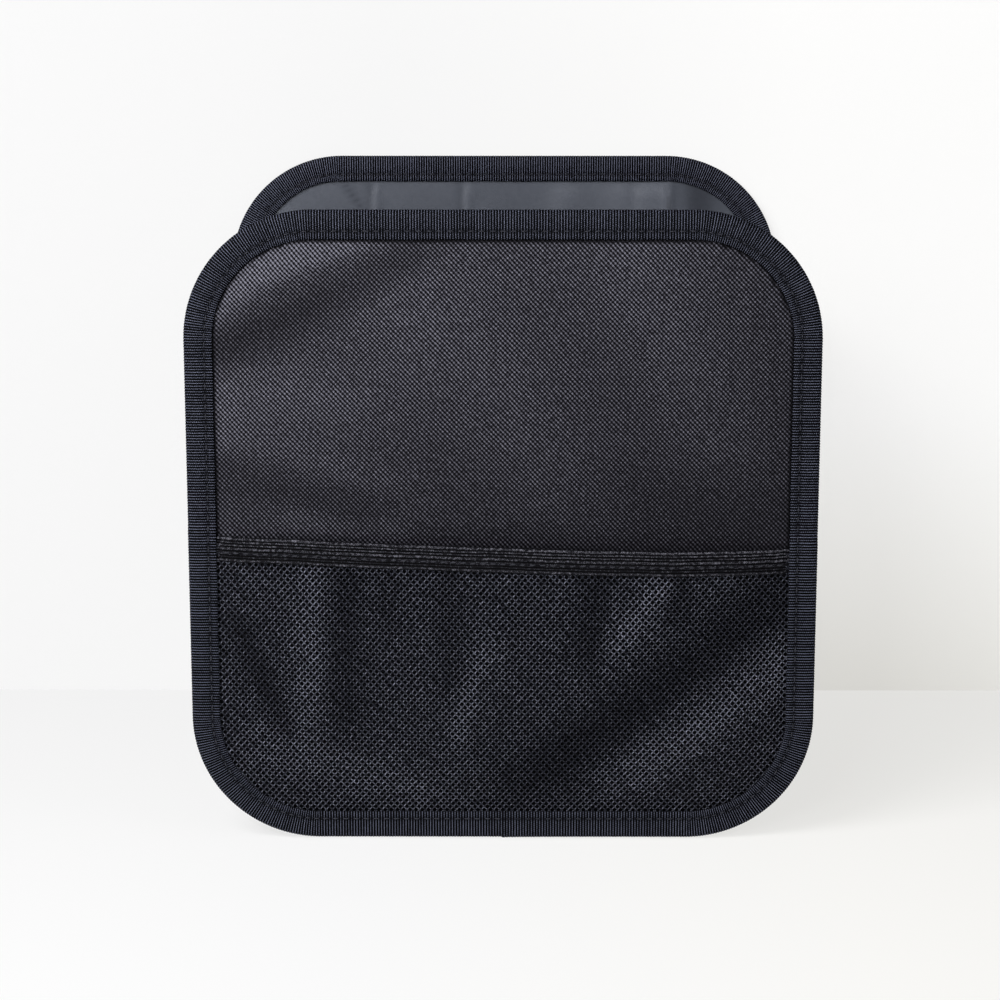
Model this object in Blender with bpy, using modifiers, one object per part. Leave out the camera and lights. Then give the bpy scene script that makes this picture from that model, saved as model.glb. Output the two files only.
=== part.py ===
"""Back seat organizer: an open box of stiffened fabric, sewn from two bound panels and a gusset.

The front and back panels are rounded squares. Each one is an outer fabric, a stiffener board and a
lining, held together round the edge by a folded binding tape. A gusset strip runs down the left
side, under the base and up the right side, and its edges turn outwards under the tape. A mesh
pocket with an elastic top band covers the lower half of the front panel.

Units are metres, +Z is up, the front panel faces -Y, and the origin is on the ground under the
middle of the whole object.
"""

import math

import bmesh
import bpy

# Panels, measured over the binding tape
PANEL_WIDTH = 0.280
PANEL_HEIGHT = 0.286
CORNER_RADIUS = 0.057
BOX_DEPTH = 0.228  # from the outer fabric of the front panel to that of the back panel

# Layers
FABRIC_THICKNESS = 0.0005
BOARD_THICKNESS = 0.0015
LINING_THICKNESS = 0.0005
CLEARANCE = 0.0003  # between pieces that lie on each other

# Binding tape
TAPE_THICKNESS = 0.0007
TAPE_REACH = 0.0125  # from the folded edge to the raw edge, on either face
FOLD_RADIUS = 0.0014
TAPE_STEP_LENGTH = 0.006  # the front tape thins over this length above the elastic band

BOARD_MARGIN = 0.003  # the gusset's stiffeners end this far before its bends and seams

# Mesh pocket
BAND_TOP_LEFT = 0.1411
BAND_TOP_RIGHT = 0.1351
BAND_WIDTH = 0.0115
BAND_THICKNESS = 0.0008
BAND_END_MARGIN = 0.0025  # the band ends this far from the tape's fold, under the tape
BAND_RIBS = 5
RIB_DEPTH = 0.00025  # the ribs run along the band
MESH_THICKNESS = 0.0006
MESH_DROP = 0.002  # from the band's top edge down to the hidden edge of the mesh
MESH_NOTCH = 0.006  # the mesh stops this far from the tape behind the band
POCKET_STAND_OFF = 0.011  # at the slack right half of the mouth
POCKET_RISE = 0.065  # distance from the tape over which the pocket reaches its stand-off
POCKET_LEFT_SHARE = 0.3  # share of the stand-off at the left tape, where the mesh is tight
POCKET_LEAN_START = -0.130  # X over which that share grows to the whole
POCKET_LEAN_END = 0.040
SLACK_FOLD = 0.0008  # depth of the mesh's slack folds
SLACK_PITCH = 0.058
SLACK_LEAN = 0.6  # how far a fold leans to the left for each metre of height

# Loose folds of the linings
CREASE_HEIGHT = 0.0013
CREASE_PITCH = 0.046
CREASE_LEAN = 0.04
CREASE_SHARPNESS = 6  # power of a cosine: higher makes a narrower fold
CREASE_SHIFT = 0.007  # the folds of the front and back panel are this far either side of even
CREASE_FADE = 0.030  # distance from the tape over which the folds reach their height

# Fineness of the curved surfaces
CORNER_STEPS = 10
FOLD_STEPS = 3
POCKET_COLUMNS = 26
POCKET_ROWS = 5
LINING_COLUMNS = 40
LINING_ROWS = 4
CLOTH_CORNER_STEPS = 5
HIDDEN_STEPS = 2  # rows of a cloth under the tape of its lower or upper edge
STEP_RINGS = 4  # rings of the front tape where it steps down above the pocket's edge

# Distances measured inwards from the outer face of a panel's fabric
BOARD_FACE = FABRIC_THICKNESS + CLEARANCE
LINING_FACE = BOARD_FACE + BOARD_THICKNESS + CLEARANCE
STACK = LINING_FACE + LINING_THICKNESS
TAPE_OUTSIDE = -(CLEARANCE + TAPE_THICKNESS)
TAPE_INSIDE = STACK + CLEARANCE + TAPE_THICKNESS
POCKET_EDGE_LAYER = CLEARANCE + max(MESH_THICKNESS, BAND_THICKNESS)

# Distances measured inwards from the outline of a panel
LAYER_INSET = TAPE_THICKNESS + CLEARANCE
GUSSET_INSET = TAPE_REACH + CLEARANCE
GUSSET_BOARD_INSET = GUSSET_INSET + FABRIC_THICKNESS + CLEARANCE
GUSSET_LINING_INSET = GUSSET_BOARD_INSET + BOARD_THICKNESS + CLEARANCE
GUSSET_INSIDE_INSET = GUSSET_LINING_INSET + LINING_THICKNESS

GUSSET_TOP = PANEL_HEIGHT - CORNER_RADIUS
BAND_BULGE = CLEARANCE + MESH_THICKNESS + CLEARANCE + POCKET_STAND_OFF + BAND_THICKNESS + RIB_DEPTH
MIDDLE_Y = (BAND_BULGE + TAPE_OUTSIDE) / 2  # centres the whole object, pocket included, on Y = 0

FRONT, BACK = -1, 1  # a panel's side: the sign of the Y that it lies at

# Finishes: name, colour and roughness
BLACK_OXFORD = ("black_oxford_fabric", (0.030, 0.030, 0.036), 0.62)
GREY_LINING = ("grey_lining_fabric", (0.085, 0.092, 0.108), 0.48)
BLACK_TAPE = ("black_ribbed_tape", (0.016, 0.017, 0.022), 0.70)
BLACK_MESH = ("black_mesh_fabric", (0.020, 0.020, 0.024), 0.66)
BLACK_ELASTIC = ("black_elastic", (0.018, 0.018, 0.022), 0.72)
GREY_BOARD = ("grey_plastic_board", (0.20, 0.20, 0.21), 0.50)


def clear_scene():
    """Empties the scene and adds a collection for the object."""
    for existing in list(bpy.data.objects):
        bpy.data.objects.remove(existing, do_unlink=True)
    bpy.context.scene.collection.children.link(bpy.data.collections.new("back_seat_organizer"))


def material(finish):
    """The material of a finish, made once: its name, its colour and its roughness."""
    name, colour, roughness = finish
    found = bpy.data.materials.get(name)
    if found:
        return found
    made = bpy.data.materials.new(name)
    made.use_nodes = True
    made.diffuse_color = (*colour, 1.0)
    shader = made.node_tree.nodes["Principled BSDF"]
    shader.inputs["Base Color"].default_value = (*colour, 1.0)
    shader.inputs["Roughness"].default_value = roughness
    shader.inputs["Metallic"].default_value = 0.0
    return made


def add_object(name, data, finish):
    """Links a new object to the organizer's collection, in its material."""
    made = bpy.data.objects.new(name, data)
    bpy.data.collections["back_seat_organizer"].objects.link(made)
    data.materials.append(material(finish))
    return made


def arc(centre_x, centre_z, radius, start, end):
    """Points along a corner's arc, from one angle to another in degrees."""
    points = []
    for step in range(CORNER_STEPS + 1):
        angle = math.radians(start + (end - start) * step / CORNER_STEPS)
        points.append((centre_x + radius * math.cos(angle), centre_z + radius * math.sin(angle)))
    return points


def corner_centres():
    """The X of the right corners' centre, and the Z of the lower and upper corners' centres."""
    return PANEL_WIDTH / 2 - CORNER_RADIUS, CORNER_RADIUS, PANEL_HEIGHT - CORNER_RADIUS


def u_line(inset):
    """The panel's outline moved inwards, from the gusset's left end under the base to its right end."""
    x, low, _ = corner_centres()
    radius = CORNER_RADIUS - inset
    side = PANEL_WIDTH / 2 - inset
    return [
        (-side, GUSSET_TOP),
        *arc(-x, low, radius, 180, 270),
        *arc(x, low, radius, 270, 360),
        (side, GUSSET_TOP),
    ]


def top_line(inset):
    """The rest of the outline, from the upper right corner over the top to the upper left corner."""
    x, _, high = corner_centres()
    radius = CORNER_RADIUS - inset
    return [*arc(x, high, radius, 0, 90), *arc(-x, high, radius, 90, 180)]


def panel_outline(inset):
    """The whole outline of a panel, moved inwards."""
    return [*u_line(inset)[1:-1], *top_line(inset)]


def world_y(side, inwards):
    """The Y of a plane that lies so far inside the outer fabric of the front or back panel."""
    return MIDDLE_Y + side * (BOX_DEPTH / 2 - inwards)


def plate(name, outline, y_first, y_second, finish):
    """A flat plate that stands between two planes of constant Y, from its outline in X and Z."""
    curve = bpy.data.curves.new(name, "CURVE")
    curve.dimensions = "2D"
    curve.fill_mode = "BOTH"
    curve.extrude = abs(y_second - y_first) / 2
    spline = curve.splines.new("POLY")
    spline.points.add(len(outline) - 1)
    for point, (x, z) in zip(spline.points, outline):
        point.co = (x, z, 0.0, 1.0)
    spline.use_cyclic_u = True
    made = add_object(name, curve, finish)
    made.rotation_euler = (math.pi / 2, 0.0, 0.0)
    made.location = (0.0, (y_first + y_second) / 2, 0.0)
    return made


def panel_layer(name, outline, side, inwards, thickness, finish):
    """One flat layer of a panel, its outer face so far inside the outer fabric's outer face."""
    return plate(
        name, outline, world_y(side, inwards), world_y(side, inwards + thickness), finish
    )


def loft(name, rings, closed, finish):
    """Skins a row of rings of points into one closed body, with an end face on an open row."""
    work = bmesh.new()
    rows = [[work.verts.new(point) for point in ring] for ring in rings]
    pairs = list(zip(rows, rows[1:] + rows[:1] if closed else rows[1:]))
    for row, after in pairs:
        for index, vertex in enumerate(row):
            following = (index + 1) % len(row)
            work.faces.new((vertex, row[following], after[following], after[index]))
    if not closed:
        work.faces.new(rows[0])
        work.faces.new(rows[-1])
    bmesh.ops.recalc_face_normals(work, faces=work.faces)
    mesh = bpy.data.meshes.new(name)
    work.to_mesh(mesh)
    work.free()
    made = add_object(name, mesh, finish)
    mesh.shade_smooth()
    mesh.set_sharp_from_angle(angle=math.radians(35))
    return made


def rings_along(line_at, section_at, side):
    """Rings for a loft: a section, as insets and depths, placed at every point of an outline.

    line_at gives the outline's points for an inset, and section_at the section at a point.
    """
    rings = []
    for index, (x, z) in enumerate(line_at(0.0)):
        ring = []
        for inset, inwards in section_at(x, z):
            moved_x, moved_z = line_at(inset)[index]
            ring.append((moved_x, world_y(side, inwards), moved_z))
        rings.append(ring)
    return rings


def tape_section(outside):
    """The folded tape's section, as insets from the outline and depths inside the outer fabric.

    outside is the depth of its outer leg's face, which is less where the tape covers the pocket.
    """
    inner_outside = outside + TAPE_THICKNESS
    inner_inside = TAPE_INSIDE - TAPE_THICKNESS
    fold = []
    for step in range(FOLD_STEPS + 1):
        angle = math.pi / 2 * step / FOLD_STEPS
        reach = FOLD_RADIUS * (1 - math.sin(angle))
        depth = FOLD_RADIUS * (1 - math.cos(angle))
        fold.append((reach, depth))
    return [
        (TAPE_REACH, outside),
        *[(reach, outside + depth) for reach, depth in fold],
        *[(reach, TAPE_INSIDE - depth) for reach, depth in reversed(fold)],
        (TAPE_REACH, TAPE_INSIDE),
        (TAPE_REACH, inner_inside),
        (TAPE_THICKNESS, inner_inside),
        (TAPE_THICKNESS, inner_outside),
        (TAPE_REACH, inner_outside),
    ]


def band_top(x):
    """Height of the elastic band's top edge, which slopes a little from left to right."""
    share = (x + PANEL_WIDTH / 2) / PANEL_WIDTH
    return BAND_TOP_LEFT + (BAND_TOP_RIGHT - BAND_TOP_LEFT) * share


def band_bottom(x):
    """Height of the elastic band's lower edge."""
    return band_top(x) - BAND_WIDTH


def below_band(x):
    """Height just below the band's lower edge."""
    return band_bottom(x) - CLEARANCE


def side_line(inset, x_sign):
    """Extra points on a straight side, close together where the tape steps over the pocket's edge."""
    x = x_sign * (PANEL_WIDTH / 2 - inset)
    foot = band_top(x_sign * PANEL_WIDTH / 2) + CLEARANCE
    heights = [
        foot + TAPE_STEP_LENGTH * step / STEP_RINGS for step in range(STEP_RINGS + 1)
    ]
    return [(x, z) for z in (heights if x_sign > 0 else reversed(heights))]


def bound_line(inset):
    """The whole outline of a panel with the extra points of both straight sides."""
    lower = u_line(inset)[1:-1]
    return [*lower, *side_line(inset, 1), *top_line(inset), *side_line(inset, -1)]


def smooth_rise(share):
    """Rises from 0 to 1 with no sharp start or end."""
    held = min(max(share, 0.0), 1.0)
    return held * held * (3 - 2 * held)


def front_tape_section(x, z):
    """The front tape's section at a point of the outline: thicker below, where it holds the pocket."""
    above = (z - band_top(x) - CLEARANCE) / TAPE_STEP_LENGTH
    return tape_section(TAPE_OUTSIDE - POCKET_EDGE_LAYER * (1 - smooth_rise(above)))


def distance_inside(x, z, inset):
    """Distance from a point to the panel's outline moved inwards, positive inside."""
    centre_x, low, high = corner_centres()
    radius = CORNER_RADIUS - inset
    past_x = abs(x) - centre_x
    past_z = max(low - z, z - high)
    outside = math.hypot(max(past_x, 0.0), max(past_z, 0.0))
    return radius - outside - min(max(past_x, past_z), 0.0)


def pocket_bulge(x, z):
    """How far the mesh stands off the panel: a rise from the tape, with slack folds on it.

    The mesh is tighter on the left, so it stands off less there.
    """
    inside = distance_inside(x, z, GUSSET_INSET)
    slack = smooth_rise((x - POCKET_LEAN_START) / (POCKET_LEAN_END - POCKET_LEAN_START))
    lean = POCKET_LEFT_SHARE + (1 - POCKET_LEFT_SHARE) * slack
    rise = lean * math.sin(math.pi / 2 * min(max(inside / POCKET_RISE, 0.0), 1.0))
    fold = (1 + math.sin(2 * math.pi * (x + SLACK_LEAN * z) / SLACK_PITCH)) / 2
    loose = smooth_rise((band_bottom(x) - z) / BAND_WIDTH)
    return rise * (POCKET_STAND_OFF - SLACK_FOLD * fold * loose)


def crease(x, z, side):
    """Height of a lining's loose vertical folds, which fade out towards the tape."""
    fade = smooth_rise(distance_inside(x, z, GUSSET_INSIDE_INSET) / CREASE_FADE)
    along = x + CREASE_LEAN * z + side * CREASE_SHIFT
    ridge = abs(math.cos(math.pi * along / CREASE_PITCH)) ** CREASE_SHARPNESS
    return CREASE_HEIGHT * ridge * fade


def half_width(z, inset):
    """Half the panel's width at a height, between the outline moved inwards."""
    centre_x, low, high = corner_centres()
    past = max(low - z, z - high, 0.0)
    radius = CORNER_RADIUS - inset
    return centre_x + math.sqrt(max(radius * radius - past * past, 0.0))


def corner_heights(inset, count):
    """Heights up the arc of a lower corner, the first so many of the cloths' steps there."""
    radius = CORNER_RADIUS - inset
    turn = math.pi / 2 / CLOTH_CORNER_STEPS
    return [CORNER_RADIUS - radius * math.cos(turn * step) for step in range(count)]


def even_steps(first, last, count):
    """Heights in even steps, from the first up to but not with the last."""
    return [first + (last - first) * step / count for step in range(count)]


def columns(stops, count):
    """X from left to right: the stops of the left side, even steps between, and the right side's stops."""
    inner = stops[-1]
    even = [inner * (2 * step / count - 1) for step in range(1, count)]
    return [*[-stop for stop in stops], *even, *reversed(stops)]


def cloth(name, rows, depth_at, side, towards, thickness, finish):
    """A thin cloth through rows of points in X and Z, moved in Y, given its thickness by Solidify.

    depth_at gives how far inside the outer fabric the cloth lies, and its thickness grows from
    there to +Y if towards is BACK, or to -Y if it is FRONT.
    """
    work = bmesh.new()
    grid = [
        [work.verts.new((x, world_y(side, depth_at(x, z)), z)) for x, z in row] for row in rows
    ]
    for row, above in zip(grid, grid[1:]):
        for index in range(len(row) - 1):
            work.faces.new((row[index], row[index + 1], above[index + 1], above[index]))
    mesh = bpy.data.meshes.new(name)
    work.to_mesh(mesh)
    work.free()
    made = add_object(name, mesh, finish)
    wall = made.modifiers.new("thickness", "SOLIDIFY")
    wall.thickness = thickness
    wall.offset = -towards
    mesh.shade_smooth()


def box(name, low, high, finish):
    """A block between two opposite corners."""
    bpy.ops.mesh.primitive_cube_add(size=1.0)
    made = bpy.context.active_object
    made.name = name
    made.data.name = name
    for collection in list(made.users_collection):
        collection.objects.unlink(made)
    bpy.data.collections["back_seat_organizer"].objects.link(made)
    made.data.materials.append(material(finish))
    made.location = [(a + b) / 2 for a, b in zip(low, high)]
    made.scale = [b - a for a, b in zip(low, high)]


def lining_rows():
    """Rows of points of a panel's lining.

    Above the gusset it reaches the tape's fold. Beside and below, it stops at the gusset.
    """
    beside = GUSSET_INSET + FABRIC_THICKNESS + CLEARANCE
    free = GUSSET_INSIDE_INSET
    arc_rows = corner_heights(free, CLOTH_CORNER_STEPS)
    hidden_rows = corner_heights(LAYER_INSET, HIDDEN_STEPS)
    shoulder = GUSSET_TOP + CLEARANCE
    lower = [beside, *arc_rows, *even_steps(CORNER_RADIUS, shoulder, LINING_ROWS), shoulder]
    upper = [PANEL_HEIGHT - z for z in reversed([*hidden_rows, *arc_rows])]
    rows = []
    for inset, heights in ((beside, lower), (LAYER_INSET, [shoulder + CLEARANCE, *upper])):
        for z in heights:
            outer = half_width(z, inset)
            inner = min(half_width(z, free), outer - CLEARANCE)
            rows.append([(x, z) for x in columns((outer, inner), LINING_COLUMNS)])
    return rows


def pocket_rows():
    """Rows of points of the pocket's mesh, from under the lower tape to behind the elastic band.

    It reaches the tape's fold, but stops short of the tape behind the band's ends, where the tape
    holds only the band.
    """
    hidden_rows = corner_heights(LAYER_INSET, HIDDEN_STEPS)
    arc_rows = corner_heights(GUSSET_INSET, CLOTH_CORNER_STEPS)
    rows = []
    for z in [*hidden_rows, *arc_rows]:
        outer = half_width(z, LAYER_INSET)
        inner = min(half_width(z, GUSSET_INSET), outer - CLEARANCE)
        rows.append([(x, z) for x in columns((outer, inner, inner - MESH_NOTCH), POCKET_COLUMNS)])
    tape_edge = PANEL_WIDTH / 2 - GUSSET_INSET
    notch = tape_edge - MESH_NOTCH
    held = columns((PANEL_WIDTH / 2 - LAYER_INSET, tape_edge, notch), POCKET_COLUMNS)
    for step in range(POCKET_ROWS + 1):
        share = step / POCKET_ROWS
        rows.append([(x, CORNER_RADIUS + (below_band(x) - CORNER_RADIUS) * share) for x in held])
    beside_tape = columns((tape_edge + CLEARANCE, tape_edge, notch), POCKET_COLUMNS)
    rows.append([(x, below_band(x) + CLEARANCE / 2) for x in beside_tape])
    free = columns((notch + 2 * CLEARANCE, notch + CLEARANCE, notch), POCKET_COLUMNS)
    rows.append([(x, band_bottom(x)) for x in free])
    rows.append([(x, band_top(x) - MESH_DROP) for x in free])
    return rows


def build_panel(prefix, side, section_at):
    """The outer fabric, stiffener, lining and binding tape of the front or back panel."""
    outline = panel_outline(LAYER_INSET)
    panel_layer(prefix + "_outer_fabric", outline, side, 0.0, FABRIC_THICKNESS, BLACK_OXFORD)
    panel_layer(
        prefix + "_stiffener_board", outline, side, BOARD_FACE, BOARD_THICKNESS, GREY_BOARD
    )
    cloth(
        prefix + "_lining",
        lining_rows(),
        lambda x, z: LINING_FACE + crease(x, z, side),
        side,
        -side,
        LINING_THICKNESS,
        GREY_LINING,
    )
    loft(prefix + "_binding_tape", rings_along(bound_line, section_at, side), True, BLACK_TAPE)


def band_rows():
    """Rows of points of the elastic band, which ends under the tape on either side."""
    tape_edge = PANEL_WIDTH / 2 - GUSSET_INSET
    end = PANEL_WIDTH / 2 - LAYER_INSET - BAND_END_MARGIN
    along = columns((end, tape_edge, tape_edge - MESH_NOTCH), POCKET_COLUMNS)
    count = 2 * BAND_RIBS
    return [
        [(x, band_bottom(x) + BAND_WIDTH * step / count) for x in along]
        for step in range(count + 1)
    ]


def band_depth(x, z):
    """Depth of the band's back: over the mesh, but in the mesh's own layer under the tape."""
    past_tape = smooth_rise(distance_inside(x, z, GUSSET_INSET) / MESH_NOTCH)
    over_mesh = (MESH_THICKNESS + CLEARANCE) * past_tape
    rib = abs(math.sin(math.pi * BAND_RIBS * (z - band_bottom(x)) / BAND_WIDTH))
    return -CLEARANCE - over_mesh - pocket_bulge(x, z) - RIB_DEPTH * rib * past_tape


def build_pocket():
    """The mesh of the front pocket and the elastic band along its mouth."""
    cloth(
        "pocket_mesh",
        pocket_rows(),
        lambda x, z: -CLEARANCE - pocket_bulge(x, z),
        FRONT,
        FRONT,
        MESH_THICKNESS,
        BLACK_MESH,
    )
    cloth(
        "pocket_elastic_band",
        band_rows(),
        band_depth,
        FRONT,
        FRONT,
        BAND_THICKNESS,
        BLACK_ELASTIC,
    )


def gusset_section():
    """The section of the gusset's outer fabric: a channel whose edges turn out to the tape."""
    near = LINING_FACE
    far = BOX_DEPTH - LINING_FACE
    wall, inner = GUSSET_INSET, GUSSET_INSET + FABRIC_THICKNESS
    return [
        (LAYER_INSET, near),
        (LAYER_INSET, near + FABRIC_THICKNESS),
        (wall, near + FABRIC_THICKNESS),
        (wall, far - FABRIC_THICKNESS),
        (LAYER_INSET, far - FABRIC_THICKNESS),
        (LAYER_INSET, far),
        (inner, far),
        (inner, near),
    ]


def build_gusset():
    """The gusset's outer fabric, its lining, its three stiffeners and the tape on its two top edges."""
    loft(
        "gusset_outer_fabric",
        rings_along(u_line, lambda x, z: gusset_section(), FRONT),
        False,
        BLACK_OXFORD,
    )
    near, far = [world_y(side, STACK + CLEARANCE) for side in (FRONT, BACK)]
    band = [*u_line(GUSSET_LINING_INSET), *reversed(u_line(GUSSET_INSIDE_INSET))]
    plate("gusset_lining", band, near, far, GREY_LINING)

    outer = PANEL_WIDTH / 2 - GUSSET_BOARD_INSET
    inner = outer - BOARD_THICKNESS
    low = CORNER_RADIUS + BOARD_MARGIN
    near, far = near + BOARD_MARGIN, far - BOARD_MARGIN
    box("left_side_stiffener_board", (-outer, near, low), (-inner, far, GUSSET_TOP), GREY_BOARD)
    box("right_side_stiffener_board", (inner, near, low), (outer, far, GUSSET_TOP), GREY_BOARD)
    half = PANEL_WIDTH / 2 - CORNER_RADIUS - BOARD_MARGIN
    low = GUSSET_BOARD_INSET
    box("base_stiffener_board", (-half, near, low), (half, far, low + BOARD_THICKNESS), GREY_BOARD)

    ends = [world_y(side, TAPE_INSIDE + CLEARANCE) for side in (FRONT, BACK)]
    plate("left_side_hem_tape", hem_outline(-1), *ends, BLACK_TAPE)
    plate("right_side_hem_tape", hem_outline(1), *ends, BLACK_TAPE)


def hem_outline(x_sign):
    """The section of the tape folded over the top edge of the gusset's left (-1) or right (1) side."""
    outer = PANEL_WIDTH / 2 - GUSSET_INSET + CLEARANCE
    inner = PANEL_WIDTH / 2 - GUSSET_INSIDE_INSET - CLEARANCE
    top = GUSSET_TOP + CLEARANCE
    bottom = GUSSET_TOP - TAPE_REACH
    tape = TAPE_THICKNESS
    points = [
        (outer + tape, bottom),
        (outer + tape, top),
        (outer, top + tape),
        (inner, top + tape),
        (inner - tape, top),
        (inner - tape, bottom),
        (inner, bottom),
        (inner, top),
        (outer, top),
        (outer, bottom),
    ]
    return [(x_sign * x, z) for x, z in points]


def build_organizer():
    """Builds every piece of the organizer."""
    clear_scene()
    build_panel("front", FRONT, front_tape_section)
    build_panel("back", BACK, lambda x, z: tape_section(TAPE_OUTSIDE))
    build_gusset()
    build_pocket()


build_organizer()
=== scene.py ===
"""Back seat organizer: its cloths, mesh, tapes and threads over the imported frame, and a small studio.

The panels' outline is a rounded square, and most pieces are written as functions of the distance
along it and the inset from it. Lengths are metres, or millimetres where a name or comment says so.
"""

import logging
import math
from dataclasses import dataclass, field
from enum import Enum
from typing import Union

import bpy
import numpy as np
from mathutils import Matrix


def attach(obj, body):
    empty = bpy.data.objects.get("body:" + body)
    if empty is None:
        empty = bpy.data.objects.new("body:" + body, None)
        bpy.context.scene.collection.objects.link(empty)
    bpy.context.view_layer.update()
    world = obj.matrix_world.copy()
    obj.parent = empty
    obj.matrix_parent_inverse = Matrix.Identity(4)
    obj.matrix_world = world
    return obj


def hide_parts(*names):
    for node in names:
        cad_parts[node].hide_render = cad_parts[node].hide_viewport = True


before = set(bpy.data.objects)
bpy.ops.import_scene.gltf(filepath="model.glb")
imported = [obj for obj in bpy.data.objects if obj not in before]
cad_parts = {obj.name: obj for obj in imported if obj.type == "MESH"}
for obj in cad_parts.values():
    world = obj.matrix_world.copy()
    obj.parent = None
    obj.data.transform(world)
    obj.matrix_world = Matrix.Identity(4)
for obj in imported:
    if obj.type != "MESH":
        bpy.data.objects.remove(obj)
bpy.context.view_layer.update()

LOG = logging.getLogger("back_seat_organizer")
Array = np.ndarray
Colour = tuple[float, float, float]
Socket = bpy.types.NodeSocket
Material = bpy.types.Material
Piece = bpy.types.Object
Input = Union[float, tuple, Socket, None]
MM = 0.001


class Side(Enum):
    """The two panels, by the sign of the Y at which they stand."""

    FRONT = -1
    BACK = 1


class Hand(Enum):
    """The gusset's two upright sides, by the sign of their X."""

    LEFT = -1
    RIGHT = 1


class FoldKind(Enum):
    """The section of a soft fold."""

    RIDGE = "ridge"
    STEP = "step"


# ---- surfaces


@dataclass
class Surface:
    """A mesh as arrays: points, four-sided faces, the cloth coordinates of their corners, and end caps.

    crest gives for each point how far it stands out of its hollow, from 0 to 1, for the finishes,
    which use it for painted shade in the hollows and painted light on the crests.
    """

    points: Array
    faces: Array
    uv: Array
    caps: tuple = ()
    crest: Union[Array, None] = None

    def volume(self) -> float:
        """Signed volume: a sixth of the sum of the triple products of every face's two triangles.

        Returns:
            The volume, negative where the faces look inwards.
        """
        a, b, c, d = (self.points[self.faces[:, corner]] for corner in range(4))
        triple = np.einsum("ij,ij->i", a, np.cross(b, c)) + np.einsum("ij,ij->i", a, np.cross(c, d))
        return float(triple.sum() / 6)

    def outwards(self) -> "Surface":
        """The same closed surface, turned inside out if its volume is negative.

        Returns:
            The surface itself, or a copy with every face turned.
        """
        if self.volume() >= 0:
            return self
        caps = tuple(cap[::-1] for cap in self.caps)
        return Surface(self.points, self.faces[:, ::-1], self.uv[:, ::-1], caps, self.crest)

    def put(self, name: str, look: Material, slot: str, nodes: tuple[str, ...] = ()) -> Piece:
        """Puts the surface into the scene as a piece that rides the part's one body.

        Args:
            name: the piece's name.
            look: its material.
            slot: a material slot's name; not used.
            nodes: the CAD nodes that it stands for.

        Returns:
            The new object.
        """
        turned = self.outwards()
        mesh = bpy.data.meshes.new(name)
        faces = turned.faces.tolist() + [cap.tolist() for cap in turned.caps]
        mesh.from_pydata(turned.points.tolist(), [], faces)
        layer = mesh.uv_layers.new(name="cloth")
        corners = np.zeros((len(mesh.loops), 2))
        corners[: turned.uv.size // 2] = turned.uv.reshape(-1, 2)
        layer.data.foreach_set("uv", corners.ravel())
        crest = np.ones(len(mesh.vertices)) if turned.crest is None else turned.crest.ravel()
        mesh.attributes.new("crest", "FLOAT", "POINT").data.foreach_set("value", crest.astype(np.float32))
        mesh.shade_smooth()
        mesh.materials.append(look)
        made = bpy.data.objects.new(name, mesh)
        bpy.context.scene.collection.objects.link(made)
        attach(made, "root")
        if nodes:
            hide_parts(*nodes)
        LOG.info("%s: %d points, %d faces", name, len(mesh.vertices), len(mesh.polygons))
        return made


def joined(*parts: Array) -> Array:
    """Points or cloth coordinates from their parts, spread over one grid, in the last axis."""
    return np.stack(np.broadcast_arrays(*parts), axis=-1)


def corners_of(values: Array) -> Array:
    """The values at the four corners of every cell of a grid, in order round the cell."""
    around = [values[:-1, :-1], values[:-1, 1:], values[1:, 1:], values[1:, :-1]]
    return np.stack(around, axis=2).reshape(-1, 4, *values.shape[2:])


def tube(points: Array, uv: Array, closed: bool, crest: Array) -> Surface:
    """Skins rings of points, each ring closed on itself.

    Args:
        points: rings by points by 3.
        uv: cloth coordinates, with one more column than points, and one more ring where closed.
        closed: whether the last ring joins the first. Otherwise a cap closes each end.
        crest: rows by points, from 0 in a hollow to 1 on a crest, for painted shade and light.

    Returns:
        The closed surface.
    """
    rings, around = points.shape[:2]
    index = np.arange(rings * around).reshape(rings, around)
    caps = () if closed else (index[0][::-1], index[-1])
    if closed:
        index = np.concatenate([index, index[:1]])
    index = np.concatenate([index, index[:, :1]], axis=1)
    return Surface(points.reshape(-1, 3), corners_of(index), corners_of(uv), caps, crest)


def cloth(outer: Array, inner: Array, uv: Array, crest: Union[Array, None] = None) -> Surface:
    """A thin cloth: two layers of one grid, joined round the border by a rim one face wide.

    Args:
        outer: rows by columns by 3, the outer layer.
        inner: the inner layer, of the same shape.
        uv: rows by columns by 2, the cloth coordinates.
        crest: rows by columns, from 0 in a hollow to 1 on a crest, or None for 1 all over, for painted shade
            and light.

    Returns:
        The closed surface.
    """
    rows, columns = outer.shape[:2]
    count = rows * columns
    index = np.arange(count).reshape(rows, columns)
    border = np.concatenate([index[0, :-1], index[:-1, -1], index[-1, :0:-1], index[:0:-1, 0]])
    after = np.roll(border, -1)
    rim = np.stack([after, border, border + count, after + count], axis=1)
    flat_uv = uv.reshape(-1, 2)
    layer = corners_of(index)
    layer_uv = corners_of(uv)
    return Surface(
        np.concatenate([outer.reshape(-1, 3), inner.reshape(-1, 3)]),
        np.concatenate([layer, layer[:, ::-1] + count, rim]),
        np.concatenate([layer_uv, layer_uv[:, ::-1], flat_uv[rim % count]]),
        crest=None if crest is None else np.concatenate([crest.ravel(), crest.ravel()]),
    )


STITCH_SHARE = np.array([-1.0, -0.5, 0.0, 0.5, 1.0])
THREAD_SIDES = 6
THREAD_ENDS = np.array([[3, 2, 1, 0], [5, 4, 3, 0]])
THINNING = np.array([[-1.0, -0.5, 0.0, 0.5, 1.0], [0.45, 0.92, 1.0, 0.92, 0.45]])


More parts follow.
